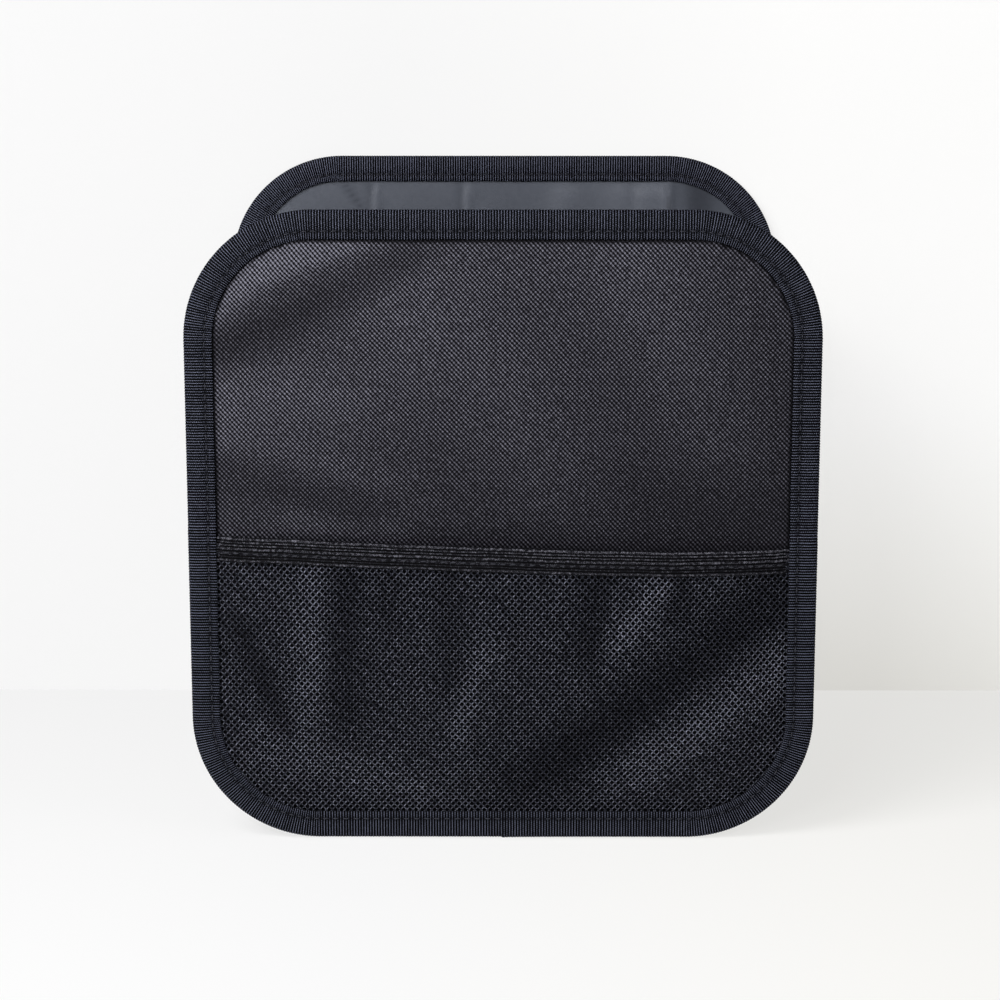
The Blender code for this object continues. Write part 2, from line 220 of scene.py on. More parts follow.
def stitched(middle: Array, length: float, crown: float) -> tuple[Array, Array]:
    """Five points to a stitch: their places along a seam, and their depths under its face.

    A depth is 0.30 mm times the square of the share of the stitch's half length, less its crown.

    Args:
        middle: the places of the stitches' middles.
        length: the length of a stitch.
        crown: how far its middle stands out of the face.

    Returns:
        The places, stitches by points, and the depths of the points.
    """
    return middle[:, None] + STITCH_SHARE * length / 2, 0.30 * MM * STITCH_SHARE**2 - crown


def threads(centre: Array, across: Array, lift: Array, radius: float) -> Surface:
    """Stitches as short rounded threads: a circle of six points carried along each centre line.

    A point is the centre, plus the radius at that ring times (cos of the angle times across, plus
    sin of the angle times lift). The radius shrinks towards both ends.

    Args:
        centre: stitches by rings by 3, the centre lines.
        across: unit vectors beside the thread, of the same shape.
        lift: unit vectors out of the cloth, of the same shape.
        radius: the thread's radius in its middle.

    Returns:
        All stitches as one surface.
    """
    count, rings = centre.shape[:2]
    sides = THREAD_SIDES
    thinning = radius * np.interp(np.linspace(-1, 1, rings), *THINNING)
    angle = np.arange(sides) * 2 * math.pi / sides
    circle = np.cos(angle)[:, None] * across[:, :, None] + np.sin(angle)[:, None] * lift[:, :, None]
    points = centre[:, :, None] + thinning[None, :, None, None] * circle
    ring = np.arange(rings * sides).reshape(rings, sides)
    side_faces = corners_of(np.concatenate([ring, ring[:, :1]], axis=1))
    far_ends = THREAD_ENDS[:, ::-1] + (rings - 1) * sides
    one = np.concatenate([side_faces, THREAD_ENDS, far_ends])
    faces = (one[None] + (np.arange(count) * rings * sides)[:, None, None]).reshape(-1, 4)
    along = np.repeat(np.linspace(0, 1, rings), sides)
    turn = np.tile(np.arange(sides) / sides, rings)
    uv = joined(along, turn)[one] * 3 * MM
    return Surface(points.reshape(-1, 3), faces, np.tile(uv, (count, 1, 1)))


def smooth_rise(share: Array) -> Array:
    """Rises from 0 to 1 as three times the square less twice the cube, held at both ends."""
    held = np.clip(share, 0.0, 1.0)
    return held * held * (3 - 2 * held)


def waves(along: Array, lengths: tuple[float, ...], seed: float = 0.0) -> Array:
    """An uneven wave between about -1 and 1: the mean of sines of these lengths, shifted by the seed.

    Args:
        along: distances.
        lengths: lengths of the sines.
        seed: shifts the sines.

    Returns:
        The wave at each distance.
    """
    turns = [2 * math.pi * along / length for length in lengths]
    parts = [np.sin(turn + seed * (step + 1.7)) for step, turn in enumerate(turns)]
    return sum(parts) / len(parts)


@dataclass(frozen=True)
class Fold:
    """A soft fold of a cloth along a straight line. All its numbers are millimetres."""

    start: tuple[float, float]
    end: tuple[float, float]
    width: float
    height: float
    kind: FoldKind = FoldKind.RIDGE

    def height_at(self, x: Array, z: Array) -> Array:
        """Height of the fold over points of the panel.

        With d the distance from the line over the width, a ridge is the height times exp(-d squared),
        and a step is that times d times 2.33, high on the line's left as one goes from start to end.
        Past the line's ends both fade as exp(-(distance past the end over 1.5 widths) squared).

        Args:
            x: X of the points, in metres.
            z: Z of the points, in metres.

        Returns:
            Heights in metres.
        """
        run = np.array([self.end[0] - self.start[0], self.end[1] - self.start[1]])
        length = float(np.hypot(*run))
        along = ((x / MM - self.start[0]) * run[0] + (z / MM - self.start[1]) * run[1]) / length
        left = ((z / MM - self.start[1]) * run[0] - (x / MM - self.start[0]) * run[1]) / length
        away = left / self.width
        past = np.maximum(np.maximum(-along, along - length), 0.0) / (1.5 * self.width)
        shape = np.exp(-away * away - past * past)
        if self.kind is FoldKind.STEP:
            shape = shape * away * 2.33
        return self.height * MM * shape


def folded(folds: tuple[Fold, ...], x: Array, z: Array) -> Array:
    """The heights of several folds together."""
    return sum((fold.height_at(x, z) for fold in folds), np.zeros_like(x))


@dataclass(frozen=True)
class PanelShape:
    """The rounded square that both panels share, and where the layers of a panel lie."""

    width: float = 0.280
    height: float = 0.286
    radius: float = 0.057
    depth: float = 0.228
    middle_y: float = 0.006125

    @property
    def perimeter(self) -> float:
        """Length of the outline: its straight runs and one whole circle."""
        return 2 * (self.width + self.height) - (8 - 2 * math.pi) * self.radius

    @property
    def gusset_top(self) -> float:
        """Height at which the upper corners begin and the gusset ends."""
        return self.height - self.radius

    def trace(self, distance: Array) -> tuple[Array, Array]:
        """Points of the outline at distances from its bottom middle, towards +X first.

        Each of nine runs starts at a known point and heading. On a straight run the point moves along
        the heading. On a corner, with a the angle turned, it moves by the radius times (sin(heading + a)
        - sin heading, cos heading - cos(heading + a)). The inward normal is (-sin, cos) of the heading.

        Args:
            distance: distances along the outline, of any sign.

        Returns:
            The points and the inward normals, as X and Z in the last axis.
        """
        quarter = math.pi / 2
        flat = self.width / 2 - self.radius
        upright = self.height - 2 * self.radius
        bend = quarter * self.radius
        half, low, high = self.width / 2, self.radius, self.gusset_top
        lengths = np.array([flat, bend, upright, bend, 2 * flat, bend, upright, bend, flat])
        starts = np.array(
            [(0, 0), (flat, 0), (half, low), (half, high), (flat, self.height), (-flat, self.height),
             (-half, high), (-half, low), (-flat, 0)]
        )
        headings = quarter * np.array([0, 0, 1, 1, 2, 2, 3, 3, 4])
        ends = np.cumsum(lengths)
        wrapped = np.mod(distance, self.perimeter)
        run = np.minimum(np.searchsorted(ends, wrapped, side="right"), 8)
        along = wrapped - (ends - lengths)[run]
        heading = headings[run]
        curved = run % 2 == 1
        turned = heading + np.where(curved, along / self.radius, 0.0)
        straight = along[..., None] * joined(np.cos(heading), np.sin(heading))
        chord = joined(np.sin(turned) - np.sin(heading), np.cos(heading) - np.cos(turned))
        moved = np.where(curved[..., None], self.radius * chord, straight)
        return starts[run] + moved, joined(-np.sin(turned), np.cos(turned))

    def inside(self, x: Array, z: Array, inset: float) -> Array:
        """Distance from points to the outline moved inwards, positive inside it.

        Args:
            x: X of the points.
            z: Z of the points.
            inset: how far the outline is moved inwards.

        Returns:
            Distances in metres.
        """
        past_x = np.abs(x) - (self.width / 2 - self.radius)
        past_z = np.maximum(self.radius - z, z - self.gusset_top)
        outside = np.hypot(np.maximum(past_x, 0.0), np.maximum(past_z, 0.0))
        return self.radius - inset - outside - np.minimum(np.maximum(past_x, past_z), 0.0)

    def half_width(self, z: Array, inset: float) -> Array:
        """Half the width at a height, between the outline moved inwards.

        Args:
            z: the heights.
            inset: how far the outline is moved inwards.

        Returns:
            Half widths in metres.
        """
        past = np.maximum(np.maximum(self.radius - z, z - self.gusset_top), 0.0)
        reach = np.maximum((self.radius - inset) ** 2 - past * past, 0.0)
        return self.width / 2 - self.radius + np.sqrt(reach)

    def y(self, side: Side, inwards: Array) -> Array:
        """Y of a surface so far inside the outer face of a panel's fabric."""
        return self.middle_y + side.value * (self.depth / 2 - inwards)

    def at(self, side: Side, x: Array, inwards: Array, z: Array) -> Array:
        """Points so far inside the outer face of a panel's fabric."""
        return joined(x, self.y(side, inwards), z)

    def mouth_height(self, mouth: tuple[float, float], x: Array) -> Array:
        """Height of a line across the panel, from its height at the left to that at the right."""
        left, right = mouth
        return left + (right - left) * (x / self.width + 0.5)

    def sheet_grid(
        self, inset: float, columns: int, rows: int, turns: int, low: float = 0.0, extra: tuple = ()
    ) -> tuple[Array, Array]:
        """X and Z of a grid that fills the outline moved inwards.

        Rows lie at even angles in the corners and at even steps between them, and each row runs
        evenly between the two edges.

        Args:
            inset: how far inside the outline the grid ends.
            columns: cells from left to right.
            rows: cells up the straight part of the sides.
            turns: cells up each corner.
            low: height of the lowest row.
            extra: heights of further rows.

        Returns:
            X and Z, each rows by columns.
        """
        turn = np.linspace(0, math.pi / 2, turns + 1)
        arc = self.radius - (self.radius - inset) * np.cos(turn)
        middle = np.linspace(self.radius, self.gusset_top, rows + 1)[1:-1]
        heights = np.concatenate([arc, middle, self.height - arc[::-1], extra])
        heights = np.unique(np.maximum(heights, low))
        share = np.linspace(-1, 1, columns + 1)
        x = share[None, :] * self.half_width(heights, inset)[:, None]
        return x, np.repeat(heights[:, None], columns + 1, axis=1)


# ---- finishes


class Graph:
    """The nodes of one material, made and linked in short calls."""

    def __init__(self, name: str) -> None:
        """Starts a material with its shader and output.

        Args:
            name: the material's name.
        """
        self.material = bpy.data.materials.new(name)
        self.material.use_nodes = True
        self.tree = self.material.node_tree
        self.shader = self.tree.nodes["Principled BSDF"]

    def feed(self, socket: Socket, value: Input) -> None:
        """Links a socket to another, or sets its value.

        Args:
            socket: the input to set.
            value: an output to link, a plain value, or None to leave it.
        """
        if isinstance(value, Socket):
            self.tree.links.new(value, socket)
        elif value is not None:
            socket.default_value = value

    def node(self, kind: str, inputs: dict[Union[int, str], Input], **settings: object) -> bpy.types.Node:
        """Adds a node.

        Args:
            kind: Blender's name for the node.
            inputs: a value or a socket for inputs by name or number.
            settings: the node's own options.

        Returns:
            The new node.
        """
        made = self.tree.nodes.new(kind)
        for key, value in settings.items():
            setattr(made, key, value)
        for key, value in inputs.items():
            self.feed(made.inputs[key], value)
        return made

    def math(
        self, operation: str, first: Input, second: Input = None, third: Input = None, clamped: bool = False
    ) -> Socket:
        """The result of one sum on up to three values, held between 0 and 1 where clamped."""
        inputs = {0: first, 1: second, 2: third}
        return self.node("ShaderNodeMath", inputs, operation=operation, use_clamp=clamped).outputs[0]

    def times(self, first: Input, second: Input) -> Socket:
        """The product of two values."""
        return self.math("MULTIPLY", first, second)

    def line(self, value: Input, gain: Input, base: Input, clamped: bool = False) -> Socket:
        """A value times a gain, plus a base."""
        return self.math("MULTIPLY_ADD", value, gain, base, clamped)

    def half(self, wave: Input) -> Socket:
        """A wave between -1 and 1, brought between 0 and 1."""
        return self.line(wave, 0.5, 0.5)

    def cloth(self) -> tuple[Socket, Socket]:
        """The two cloth coordinates of the piece, in metres.

        Returns:
            The coordinates across and along.
        """
        uv = self.node("ShaderNodeUVMap", {}, uv_map="cloth").outputs[0]
        parts = self.node("ShaderNodeSeparateXYZ", {0: uv})
        return parts.outputs[0], parts.outputs[1]

    def place(self) -> Socket:
        """The object's own coordinates."""
        return self.node("ShaderNodeTexCoord", {}).outputs["Object"]

    def crest(self) -> Socket:
        """How far the spot stands out of its hollow, from 0 to 1, for painted shade and painted light."""
        return self.node("ShaderNodeAttribute", {}, attribute_name="crest").outputs["Fac"]

    def noise(self, scale: float, detail: float = 2.0) -> Socket:
        """Soft noise between 0 and 1 over the object's coordinates."""
        inputs = {"Vector": self.place(), "Scale": scale, "Detail": detail, "Roughness": 0.6}
        return self.node("ShaderNodeTexNoise", inputs).outputs[0]

    def wave(self, along: Input, pitch: float, shift: Input = 0.0) -> Socket:
        """The cosine of two pi times a coordinate over a pitch, plus a shift."""
        return self.math("COSINE", self.line(along, 2 * math.pi / pitch, shift))

    def thread_tone(self, along: Input, pitch: float, seed: float) -> Socket:
        """A number from 0 to 1 for each thread, the same along the whole thread.

        Args:
            along: the coordinate across the threads.
            pitch: the width of a thread.
            seed: tells one set of threads from another.

        Returns:
            The number.
        """
        count = self.math("FLOOR", self.math("DIVIDE", along, pitch))
        shifted = self.math("ADD", count, seed)
        return self.node("ShaderNodeTexWhiteNoise", {"W": shifted}, noise_dimensions="1D").outputs[0]

    def ramp(self, value: Input, stops: tuple[tuple[float, Colour], ...]) -> Socket:
        """A colour looked up from a value between 0 and 1.

        Args:
            value: the value.
            stops: positions and their colours, from the lowest.

        Returns:
            The colour.
        """
        made = self.node("ShaderNodeValToRGB", {0: value})
        elements = made.color_ramp.elements
        while len(elements) < len(stops):
            elements.new(0.5)
        for element, (position, colour) in zip(elements, stops):
            element.position = position
            element.color = (*colour, 1.0)
        return made.outputs[0]

    def finish(
        self, colour: Input, rough: Input, height: Input, relief: float, sheen: float, gloss: float = 0.5
    ) -> Material:
        """Sets the shader.

        Args:
            colour: the base colour.
            rough: the roughness.
            height: the relief between 0 and 1.
            relief: the depth of that relief, in metres.
            sheen: weight of the cloth's sheen.
            gloss: the specular level.

        Returns:
            The finished material.
        """
        self.feed(self.shader.inputs["Base Color"], colour)
        self.feed(self.shader.inputs["Roughness"], rough)
        self.shader.inputs["Sheen Weight"].default_value = sheen
        self.shader.inputs["Sheen Roughness"].default_value = 0.5
        self.shader.inputs["Specular IOR Level"].default_value = gloss
        bump = self.node("ShaderNodeBump", {"Strength": 1.0, "Distance": relief, "Height": height})
        self.feed(self.shader.inputs["Normal"], bump.outputs[0])
        return self.material


@dataclass(frozen=True)
class OxfordWeave:
    """The black coated plain weave of the outer cloths, with its thick uneven threads."""

    name: str = "black_oxford_weave"
    # Painted shade and light: hollow darkens the gaps between threads, and crown is a painted highlight on
    # them.
    hollow: Colour = (0.0005, 0.0005, 0.001)
    thread: Colour = (0.022, 0.021, 0.027)
    crown: Colour = (0.188, 0.187, 0.230)
    column_pitch: float = 1.02 * MM
    row_pitch: float = 1.07 * MM
    cross: float = 0.5
    # Painted light: a gradient in the colour, lighter towards the top and the left.
    painted_light_gradient: tuple[float, float, float] = (-0.60, 0.0, 1.60)
    painted_light_base: float = 0.63

    def material(self) -> Material:
        """Dark hollows between crowns of thread on a checkerboard, stronger along one diagonal.

        With a and b the two coordinates over two pitches, a moved a little by noise, the weave is
        cos(a + b) plus a share of cos(a - b). The hollow colour is painted shade between the threads, and
        the crown colour a painted highlight, the glint on each crown. Noise lifts or lowers single crowns,
        each column and row has its own faint tone, and the mesh's crest paints shade on the cloth under a
        seam's edge, behind the pocket and on a fold's low side, and painted light on its high side. A
        painted light gradient rises evenly with height and falls with X, lighter towards the upper left.

        Returns:
            The material.
        """
        graph = Graph(self.name)
        u, v = graph.cloth()
        stray = graph.line(graph.noise(160.0, 1.0), 0.9, -0.45)
        across = graph.line(u, math.pi / self.column_pitch, stray)
        up = graph.times(v, math.pi / self.row_pitch)
        falling = graph.math("COSINE", graph.math("ADD", across, up))
        rising = graph.math("COSINE", graph.math("SUBTRACT", across, up))
        weave = graph.line(rising, self.cross, falling)
        share = graph.line(weave, 0.5 / (1 + self.cross), 0.5)
        columns = graph.thread_tone(u, self.column_pitch, 3.0)
        tone = graph.math("ADD", columns, graph.thread_tone(v, self.row_pitch, 71.0))
        uneven = graph.line(graph.noise(900.0), 0.9, graph.line(tone, 0.035, 0.34))
        level = graph.times(share, graph.line(uneven, 0.9, 0.05))
        # Painted shade from the crest, then the painted light gradient.
        level = graph.times(level, graph.crest())
        painted_light_gradient = graph.node("ShaderNodeVectorMath", {0: graph.place(), 1: self.painted_light_gradient}, operation="DOT_PRODUCT")
        level = graph.times(level, graph.math("ADD", painted_light_gradient.outputs["Value"], self.painted_light_base))
        # Painted shade in the hollows and painted highlights on the crowns.
        colour = graph.ramp(level, ((0.12, self.hollow), (0.46, self.thread), (0.95, self.crown)))
        rough = graph.line(share, -0.15, 0.65)
        return graph.finish(colour, rough, share, 0.22 * MM, 0.0, 0.05)


@dataclass(frozen=True)
class RibbedTape:
    """The black ribbon of the bindings. Its ribs are in the mesh, and this adds the fine threads."""

    name: str = "black_ribbed_tape"
    # Painted shade and light: groove darkens between the ribs, and crown is a painted highlight on them.
    groove: Colour = (0.0005, 0.0005, 0.001)
    rib: Colour = (0.010, 0.011, 0.017)
    crown: Colour = (0.130, 0.140, 0.195)
    rib_pitch: float = 1.24 * MM
    thread_pitch: float = 0.95 * MM

    def material(self) -> Material:
        """Ribs with dark grooves and bright crowns.

        The rib is a raised cosine along the tape, to the fourth power, times a share that fine threads
        make uneven. Those threads shift by half a thread from rib to rib, as bricks do. The groove colour
        is painted shade and the crown colour a painted highlight. The mesh's crest paints shade in the
        stitched groove and a painted shadow at the raw edges.

        Returns:
            The material.
        """
        graph = Graph(self.name)
        u, v = graph.cloth()
        rib = graph.half(graph.wave(u, self.rib_pitch, math.pi))
        offset = graph.times(u, math.pi / self.rib_pitch)
        fine = graph.half(graph.wave(v, self.thread_pitch, offset))
        grain = graph.line(fine, 0.50, graph.times(graph.noise(800.0), 0.72))
        tone = graph.line(graph.thread_tone(u, self.rib_pitch, 11.0), 0.25, 0.25)
        level = graph.times(graph.math("POWER", rib, 4.0), graph.math("ADD", grain, tone))
        # Painted shade from the crest: the stitched groove and a painted shadow at the raw edges.
        level = graph.times(level, graph.crest())
        colour = graph.ramp(level, ((0.05, self.groove), (0.45, self.rib), (1.0, self.crown)))
        return graph.finish(colour, 0.60, graph.times(fine, rib), 0.10 * MM, 0.0, 0.05)


@dataclass(frozen=True)
class NetYarn:
    """The knitted yarn of the pocket's mesh."""

    name: str = "black_net_yarn"
    shade: Colour = (0.001, 0.001, 0.002)
    yarn: Colour = (0.031, 0.033, 0.045)
    # Painted highlight: crown is the bright colour on the strands' tops.
    crown: Colour = (0.400, 0.415, 0.520)
    loop_pitch: float = 0.42 * MM

    def material(self) -> Material:
        """Small knitted loops, as the product of two cosines along the diagonals, brightest on the crests.

        The strands darken towards the holes by the mesh's crest to the power 1.3, as painted shade, and
        the crown colour is a painted highlight on the crests.

        Returns:
            The material.
        """
        graph = Graph(self.name)
        u, v = graph.cloth()
        first = graph.wave(graph.math("ADD", u, v), self.loop_pitch)
        second = graph.wave(graph.math("SUBTRACT", u, v), self.loop_pitch)
        loops = graph.half(graph.times(first, second))
        level = graph.line(loops, 0.30, graph.line(graph.noise(1200.0), 2.2, -0.55))
        # Painted shade towards the holes, from the crest.
        level = graph.times(level, graph.math("POWER", graph.crest(), 1.3))
        colour = graph.ramp(level, ((0.06, self.shade), (0.40, self.yarn), (0.95, self.crown)))
        return graph.finish(colour, 0.58, loops, 0.10 * MM, 0.0, 0.05)


@dataclass(frozen=True)
class RibbedElastic:
    """The black elastic of the pocket's mouth, with a fine cross texture on ribs that are in the mesh."""

    name: str = "black_ribbed_elastic"
    # Painted shade and light: shade darkens the grooves, and crown is a painted highlight on the ribs.
    shade: Colour = (0.0005, 0.0005, 0.001)
    yarn: Colour = (0.010, 0.010, 0.013)
    crown: Colour = (0.200, 0.198, 0.236)
    pitch: float = 0.80 * MM

    def material(self) -> Material:
        """A checkerboard of fine loops, as the product of two cosines, dark in the mesh's hollows.

        Returns:
            The material.
        """
        graph = Graph(self.name)
        u, v = graph.cloth()
        share = graph.half(graph.times(graph.wave(u, self.pitch), graph.wave(v, self.pitch)))
        level = graph.line(share, 0.45, graph.line(graph.noise(1100.0), 1.6, -0.38))
        # Painted shade in the band's grooves, from the crest.
        level = graph.times(level, graph.crest())
        colour = graph.ramp(level, ((0.20, self.shade), (0.62, self.yarn), (1.0, self.crown)))
        return graph.finish(colour, 0.60, share, 0.10 * MM, 0.0, 0.05)


@dataclass(frozen=True)
class SlateLining:
    """The slate grey lining, a smooth fine cloth with a soft sheen."""

    name: str = "slate_lining"
    # Painted shade: hollow is the colour of the creases' shaded sides.
    hollow: Colour = (0.016, 0.018, 0.026)
    shade: Colour = (0.066, 0.073, 0.092)
    light: Colour = (0.120, 0.130, 0.158)
    twill_pitch: float = 0.55 * MM

    def material(self) -> Material:
        """Fine diagonal lines, as a cosine of the sum of both coordinates, over cloudy changes of tone.

        The mesh's crest paints shade on the low side of each crease, and painted light on its high side.

        Returns:
            The material.
        """
        graph = Graph(self.name)
        u, v = graph.cloth()
        share = graph.half(graph.wave(graph.math("ADD", u, v), self.twill_pitch))
        clouds = graph.line(graph.noise(24.0), 0.5, graph.times(graph.noise(500.0), 0.3))
        level = graph.line(share, 0.22, clouds)
        # Painted shade and light from the crest.
        level = graph.times(level, graph.crest())
        colour = graph.ramp(level, ((0.0, self.hollow), (0.25, self.shade), (0.85, self.light)))
        return graph.finish(colour, 0.46, share, 0.02 * MM, 0.05, 0.3)


@dataclass(frozen=True)
class SewingThread:
    """The black polyester thread of the seams."""

    name: str = "black_sewing_thread"
    shade: Colour = (0.008, 0.008, 0.012)
    light: Colour = (0.056, 0.058, 0.076)
    twist_pitch: float = 0.5 * MM

    def material(self) -> Material:
        """Slanting lines of twist, as a cosine of the distance along plus the turn round the thread.

        Returns:
            The material.
        """
        graph = Graph(self.name)
        u, v = graph.cloth()
        share = graph.half(graph.wave(graph.math("ADD", u, v), self.twist_pitch))
        level = graph.line(graph.noise(700.0), 0.4, graph.times(share, 0.6))
        colour = graph.ramp(level, ((0.1, self.shade), (0.9, self.light)))
        return graph.finish(colour, 0.45, share, 0.04 * MM, 0.0, 0.25)


@dataclass(frozen=True)
class BoardPlastic:
    """The grey plastic sheet of the stiffeners, hidden between the cloths."""

    name: str = "grey_board_plastic"
    shade: Colour = (0.16, 0.16, 0.17)
    light: Colour = (0.24, 0.24, 0.25)

    def material(self) -> Material:
        """A fine pebbled skin with faint changes of tone, both from noise.

        Returns:
            The material.
        """
        graph = Graph(self.name)
        skin = graph.noise(1500.0, 1.0)
        colour = graph.ramp(graph.noise(60.0), ((0.3, self.shade), (0.7, self.light)))
        return graph.finish(colour, 0.5, skin, 0.02 * MM, 0.0)


@dataclass(frozen=True)
class StudioPaint:
    """The pale paint of the floor and wall, seen only from its front.

    tone is the paint's own, glow the share that glows, and fade a painted shadow that it takes off the
    glow. lift is painted light that raises the tone behind the part, warm is the painted shadow's hue,
    behind the X where the painted shadow begins and is full, height the Z where it is weakest, and
    above what is left of it there.
    """

    name: str
    tone: float
    glow: float
    fade: float
    lift: float
    warm: Colour
    behind: tuple[float, float] = (-0.06, 0.15)
    height: float = 0.15
    above: float = 0.15

    def material(self) -> Material:
        """A matte white that glows for the camera alone, and lets it look in from behind.

        The glow is a share of the paint. The turn goes from 0 to 1 with X behind the part. Times a share
        that falls with the height, it takes fade off the glow and warms it, a painted shadow at the part's
        right that is deepest at the floor. The turn lifts the paint's own tone as well, as painted light.

        Returns:
            The material.
        """
        graph = Graph(self.name)
        nodes, links = graph.tree.nodes, graph.tree.links
        place = graph.node("ShaderNodeSeparateXYZ", {0: graph.place()}).outputs
        span = self.behind[1] - self.behind[0]
        turn = graph.line(place[0], 1 / span, -self.behind[0] / span, clamped=True)
        low = graph.line(place[2], -1 / self.height, 1.0, clamped=True)
        # Painted shadow: deepest behind the part's right and at the floor.
        shade = graph.times(turn, graph.line(low, 1 - self.above, self.above))
        # Painted light: the paint is lighter behind the part.
        tones = [tuple([self.tone * gain] * 3) for gain in (1.0, 1.0 + self.lift)]
        graph.feed(graph.shader.inputs["Base Color"], graph.ramp(turn, ((0.0, tones[0]), (1.0, tones[1]))))
        graph.shader.inputs["Roughness"].default_value = 0.9
        graph.shader.inputs["Specular IOR Level"].default_value = 0.1
        # The painted shadow's warm hue, and the glow that it takes off.
        hue = graph.ramp(shade, ((0.0, (1.0, 1.0, 1.0)), (1.0, self.warm)))
        glow = graph.node("ShaderNodeEmission", {"Color": hue, "Strength": 1.0})
        seen = graph.node("ShaderNodeLightPath", {}).outputs["Is Camera Ray"]
        share = graph.times(seen, graph.line(shade, -self.fade, self.glow))
        front = graph.node("ShaderNodeMixShader", {0: share, 1: graph.shader.outputs[0], 2: glow.outputs[0]})
        back = graph.node("ShaderNodeNewGeometry", {}).outputs["Backfacing"]
        clear = graph.node("ShaderNodeBsdfTransparent", {})
        both = graph.node("ShaderNodeMixShader", {0: back, 1: front.outputs[0], 2: clear.outputs[0]})
        links.new(both.outputs[0], nodes["Material Output"].inputs["Surface"])
        return graph.material


@dataclass
class Finishes:
    """Every finish of the organizer, each made into a material once."""

    oxford: Material = field(default_factory=lambda: OxfordWeave().material())
    tape: Material = field(default_factory=lambda: RibbedTape().material())
    net: Material = field(default_factory=lambda: NetYarn().material())
    elastic: Material = field(default_factory=lambda: RibbedElastic().material())
    lining: Material = field(default_factory=lambda: SlateLining().material())
    thread: Material = field(default_factory=lambda: SewingThread().material())
    board: Material = field(default_factory=lambda: BoardPlastic().material())

    def dress(self, *nodes: str) -> None:
        """Gives the CAD's hidden boards their plastic.

        Args:
            nodes: the boards' CAD nodes.
        """
        for node in nodes:
            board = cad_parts[node]
            for held in board.material_slots:
                held.link = "OBJECT"
                held.material = self.board
            LOG.info("%s: kept, in %s", node, self.board.name)


# ---- tape


@dataclass(frozen=True)
class TapeSection:
    """The folded tape across its run: two legs and a fold, with a stitched groove in each leg.

    Each row of the table is a point: the inset from the fold, whether it is measured from the outer
    leg's face (1) or the inner leg's (0), how far it lies under that face towards the other leg (all
    millimetres), and the direction and strength in which the ribs raise it, as inset and depth.
    """

    reach: float = 12.5 * MM
    stitch_inset: float = 8.9 * MM
    groove: float = 0.32 * MM
    groove_width: float = 1.0 * MM
    groove_shade: float = 0.45
    raw_edge: float = 12.4 * MM
    raw_shade: float = 0.9
    rib_pitch: float = 1.24 * MM
    rib_height: float = 0.24 * MM
    rib_shares: tuple[float, ...] = (0.0, 0.34, 0.66)
    leg: tuple = (
        (12.55, 0.42, 0.3, -0.4),
        (12.30, 0.02, 0.2, -0.9),
        (10.30, -0.06, 0.0, -1.0),
        (8.90, 0.32, 0.0, -0.7),
        (7.50, -0.06, 0.0, -1.0),
        (4.40, -0.20, 0.0, -1.0),
        (1.60, 0.00, -0.1, -1.0),
        (0.45, 0.42, -0.7, -0.7),
        (0.00, 1.50, -1.0, 0.0),
    )
    hidden: tuple = ((12.4, 0.7), (0.9, 0.7))

    def points(self) -> tuple[Array, Array, Array, Array, Array]:
        """The section's closed row of points.

        Returns:
            Insets, whether from the outer face, depths under the face, rib insets and rib depths, each in
            metres where they are lengths, with depths positive from the outer face towards the inner.
        """
        outer = [(inset, 1.0, under, out, back) for inset, under, out, back in self.leg]
        inner = [(inset, 0.0, -under, out, -back) for inset, under, out, back in reversed(self.leg)]
        behind = [(inset, 0.0, -under, 0.0, 0.0) for inset, under in self.hidden]
        before = [(inset, 1.0, under, 0.0, 0.0) for inset, under in reversed(self.hidden)]
        table = np.array([*outer, *inner, *behind, *before]).T
        return table[0] * MM, table[1], table[2] * MM, table[3], table[4]

    def ribs(self, length: float, closed: bool) -> tuple[Array, Array, Array]:
        """Rings along a tape, three to a rib: one in the groove and two on the crown.

        Args:
            length: the tape's run.
            closed: whether the run comes back to its start.

        Returns:
            The rings' distances, the rib's height at each (0 to 1), and their tape coordinate, in which
            every rib takes one pitch.
        """
        count = round(length / self.rib_pitch)
        place = (np.arange(count)[:, None] + np.array(self.rib_shares)).ravel()
        raised = np.tile([0.0, 1.0, 1.0], count)
        if not closed:
            place = np.append(place, count)
            raised = np.append(raised, 0.0)
        return place * length / count, raised, place * self.rib_pitch

    def girth(self, insets: Array, depths: Array) -> Array:
        """Distance round the section up to each point and back to the first."""
        steps = np.hypot(np.diff(insets, append=insets[:1]), np.diff(depths, append=depths[:1]))
        return np.concatenate([[0.0], np.cumsum(steps)])

    def crest(self, insets: Array) -> Array:
        """Painted shade across the tape's run: darker in the stitched groove, and a painted shadow at the raw
        edges.
        """
        groove = np.exp(-(((insets - self.stitch_inset) / self.groove_width) ** 2))
        return 1 - self.groove_shade * groove - self.raw_shade * (insets > self.raw_edge)


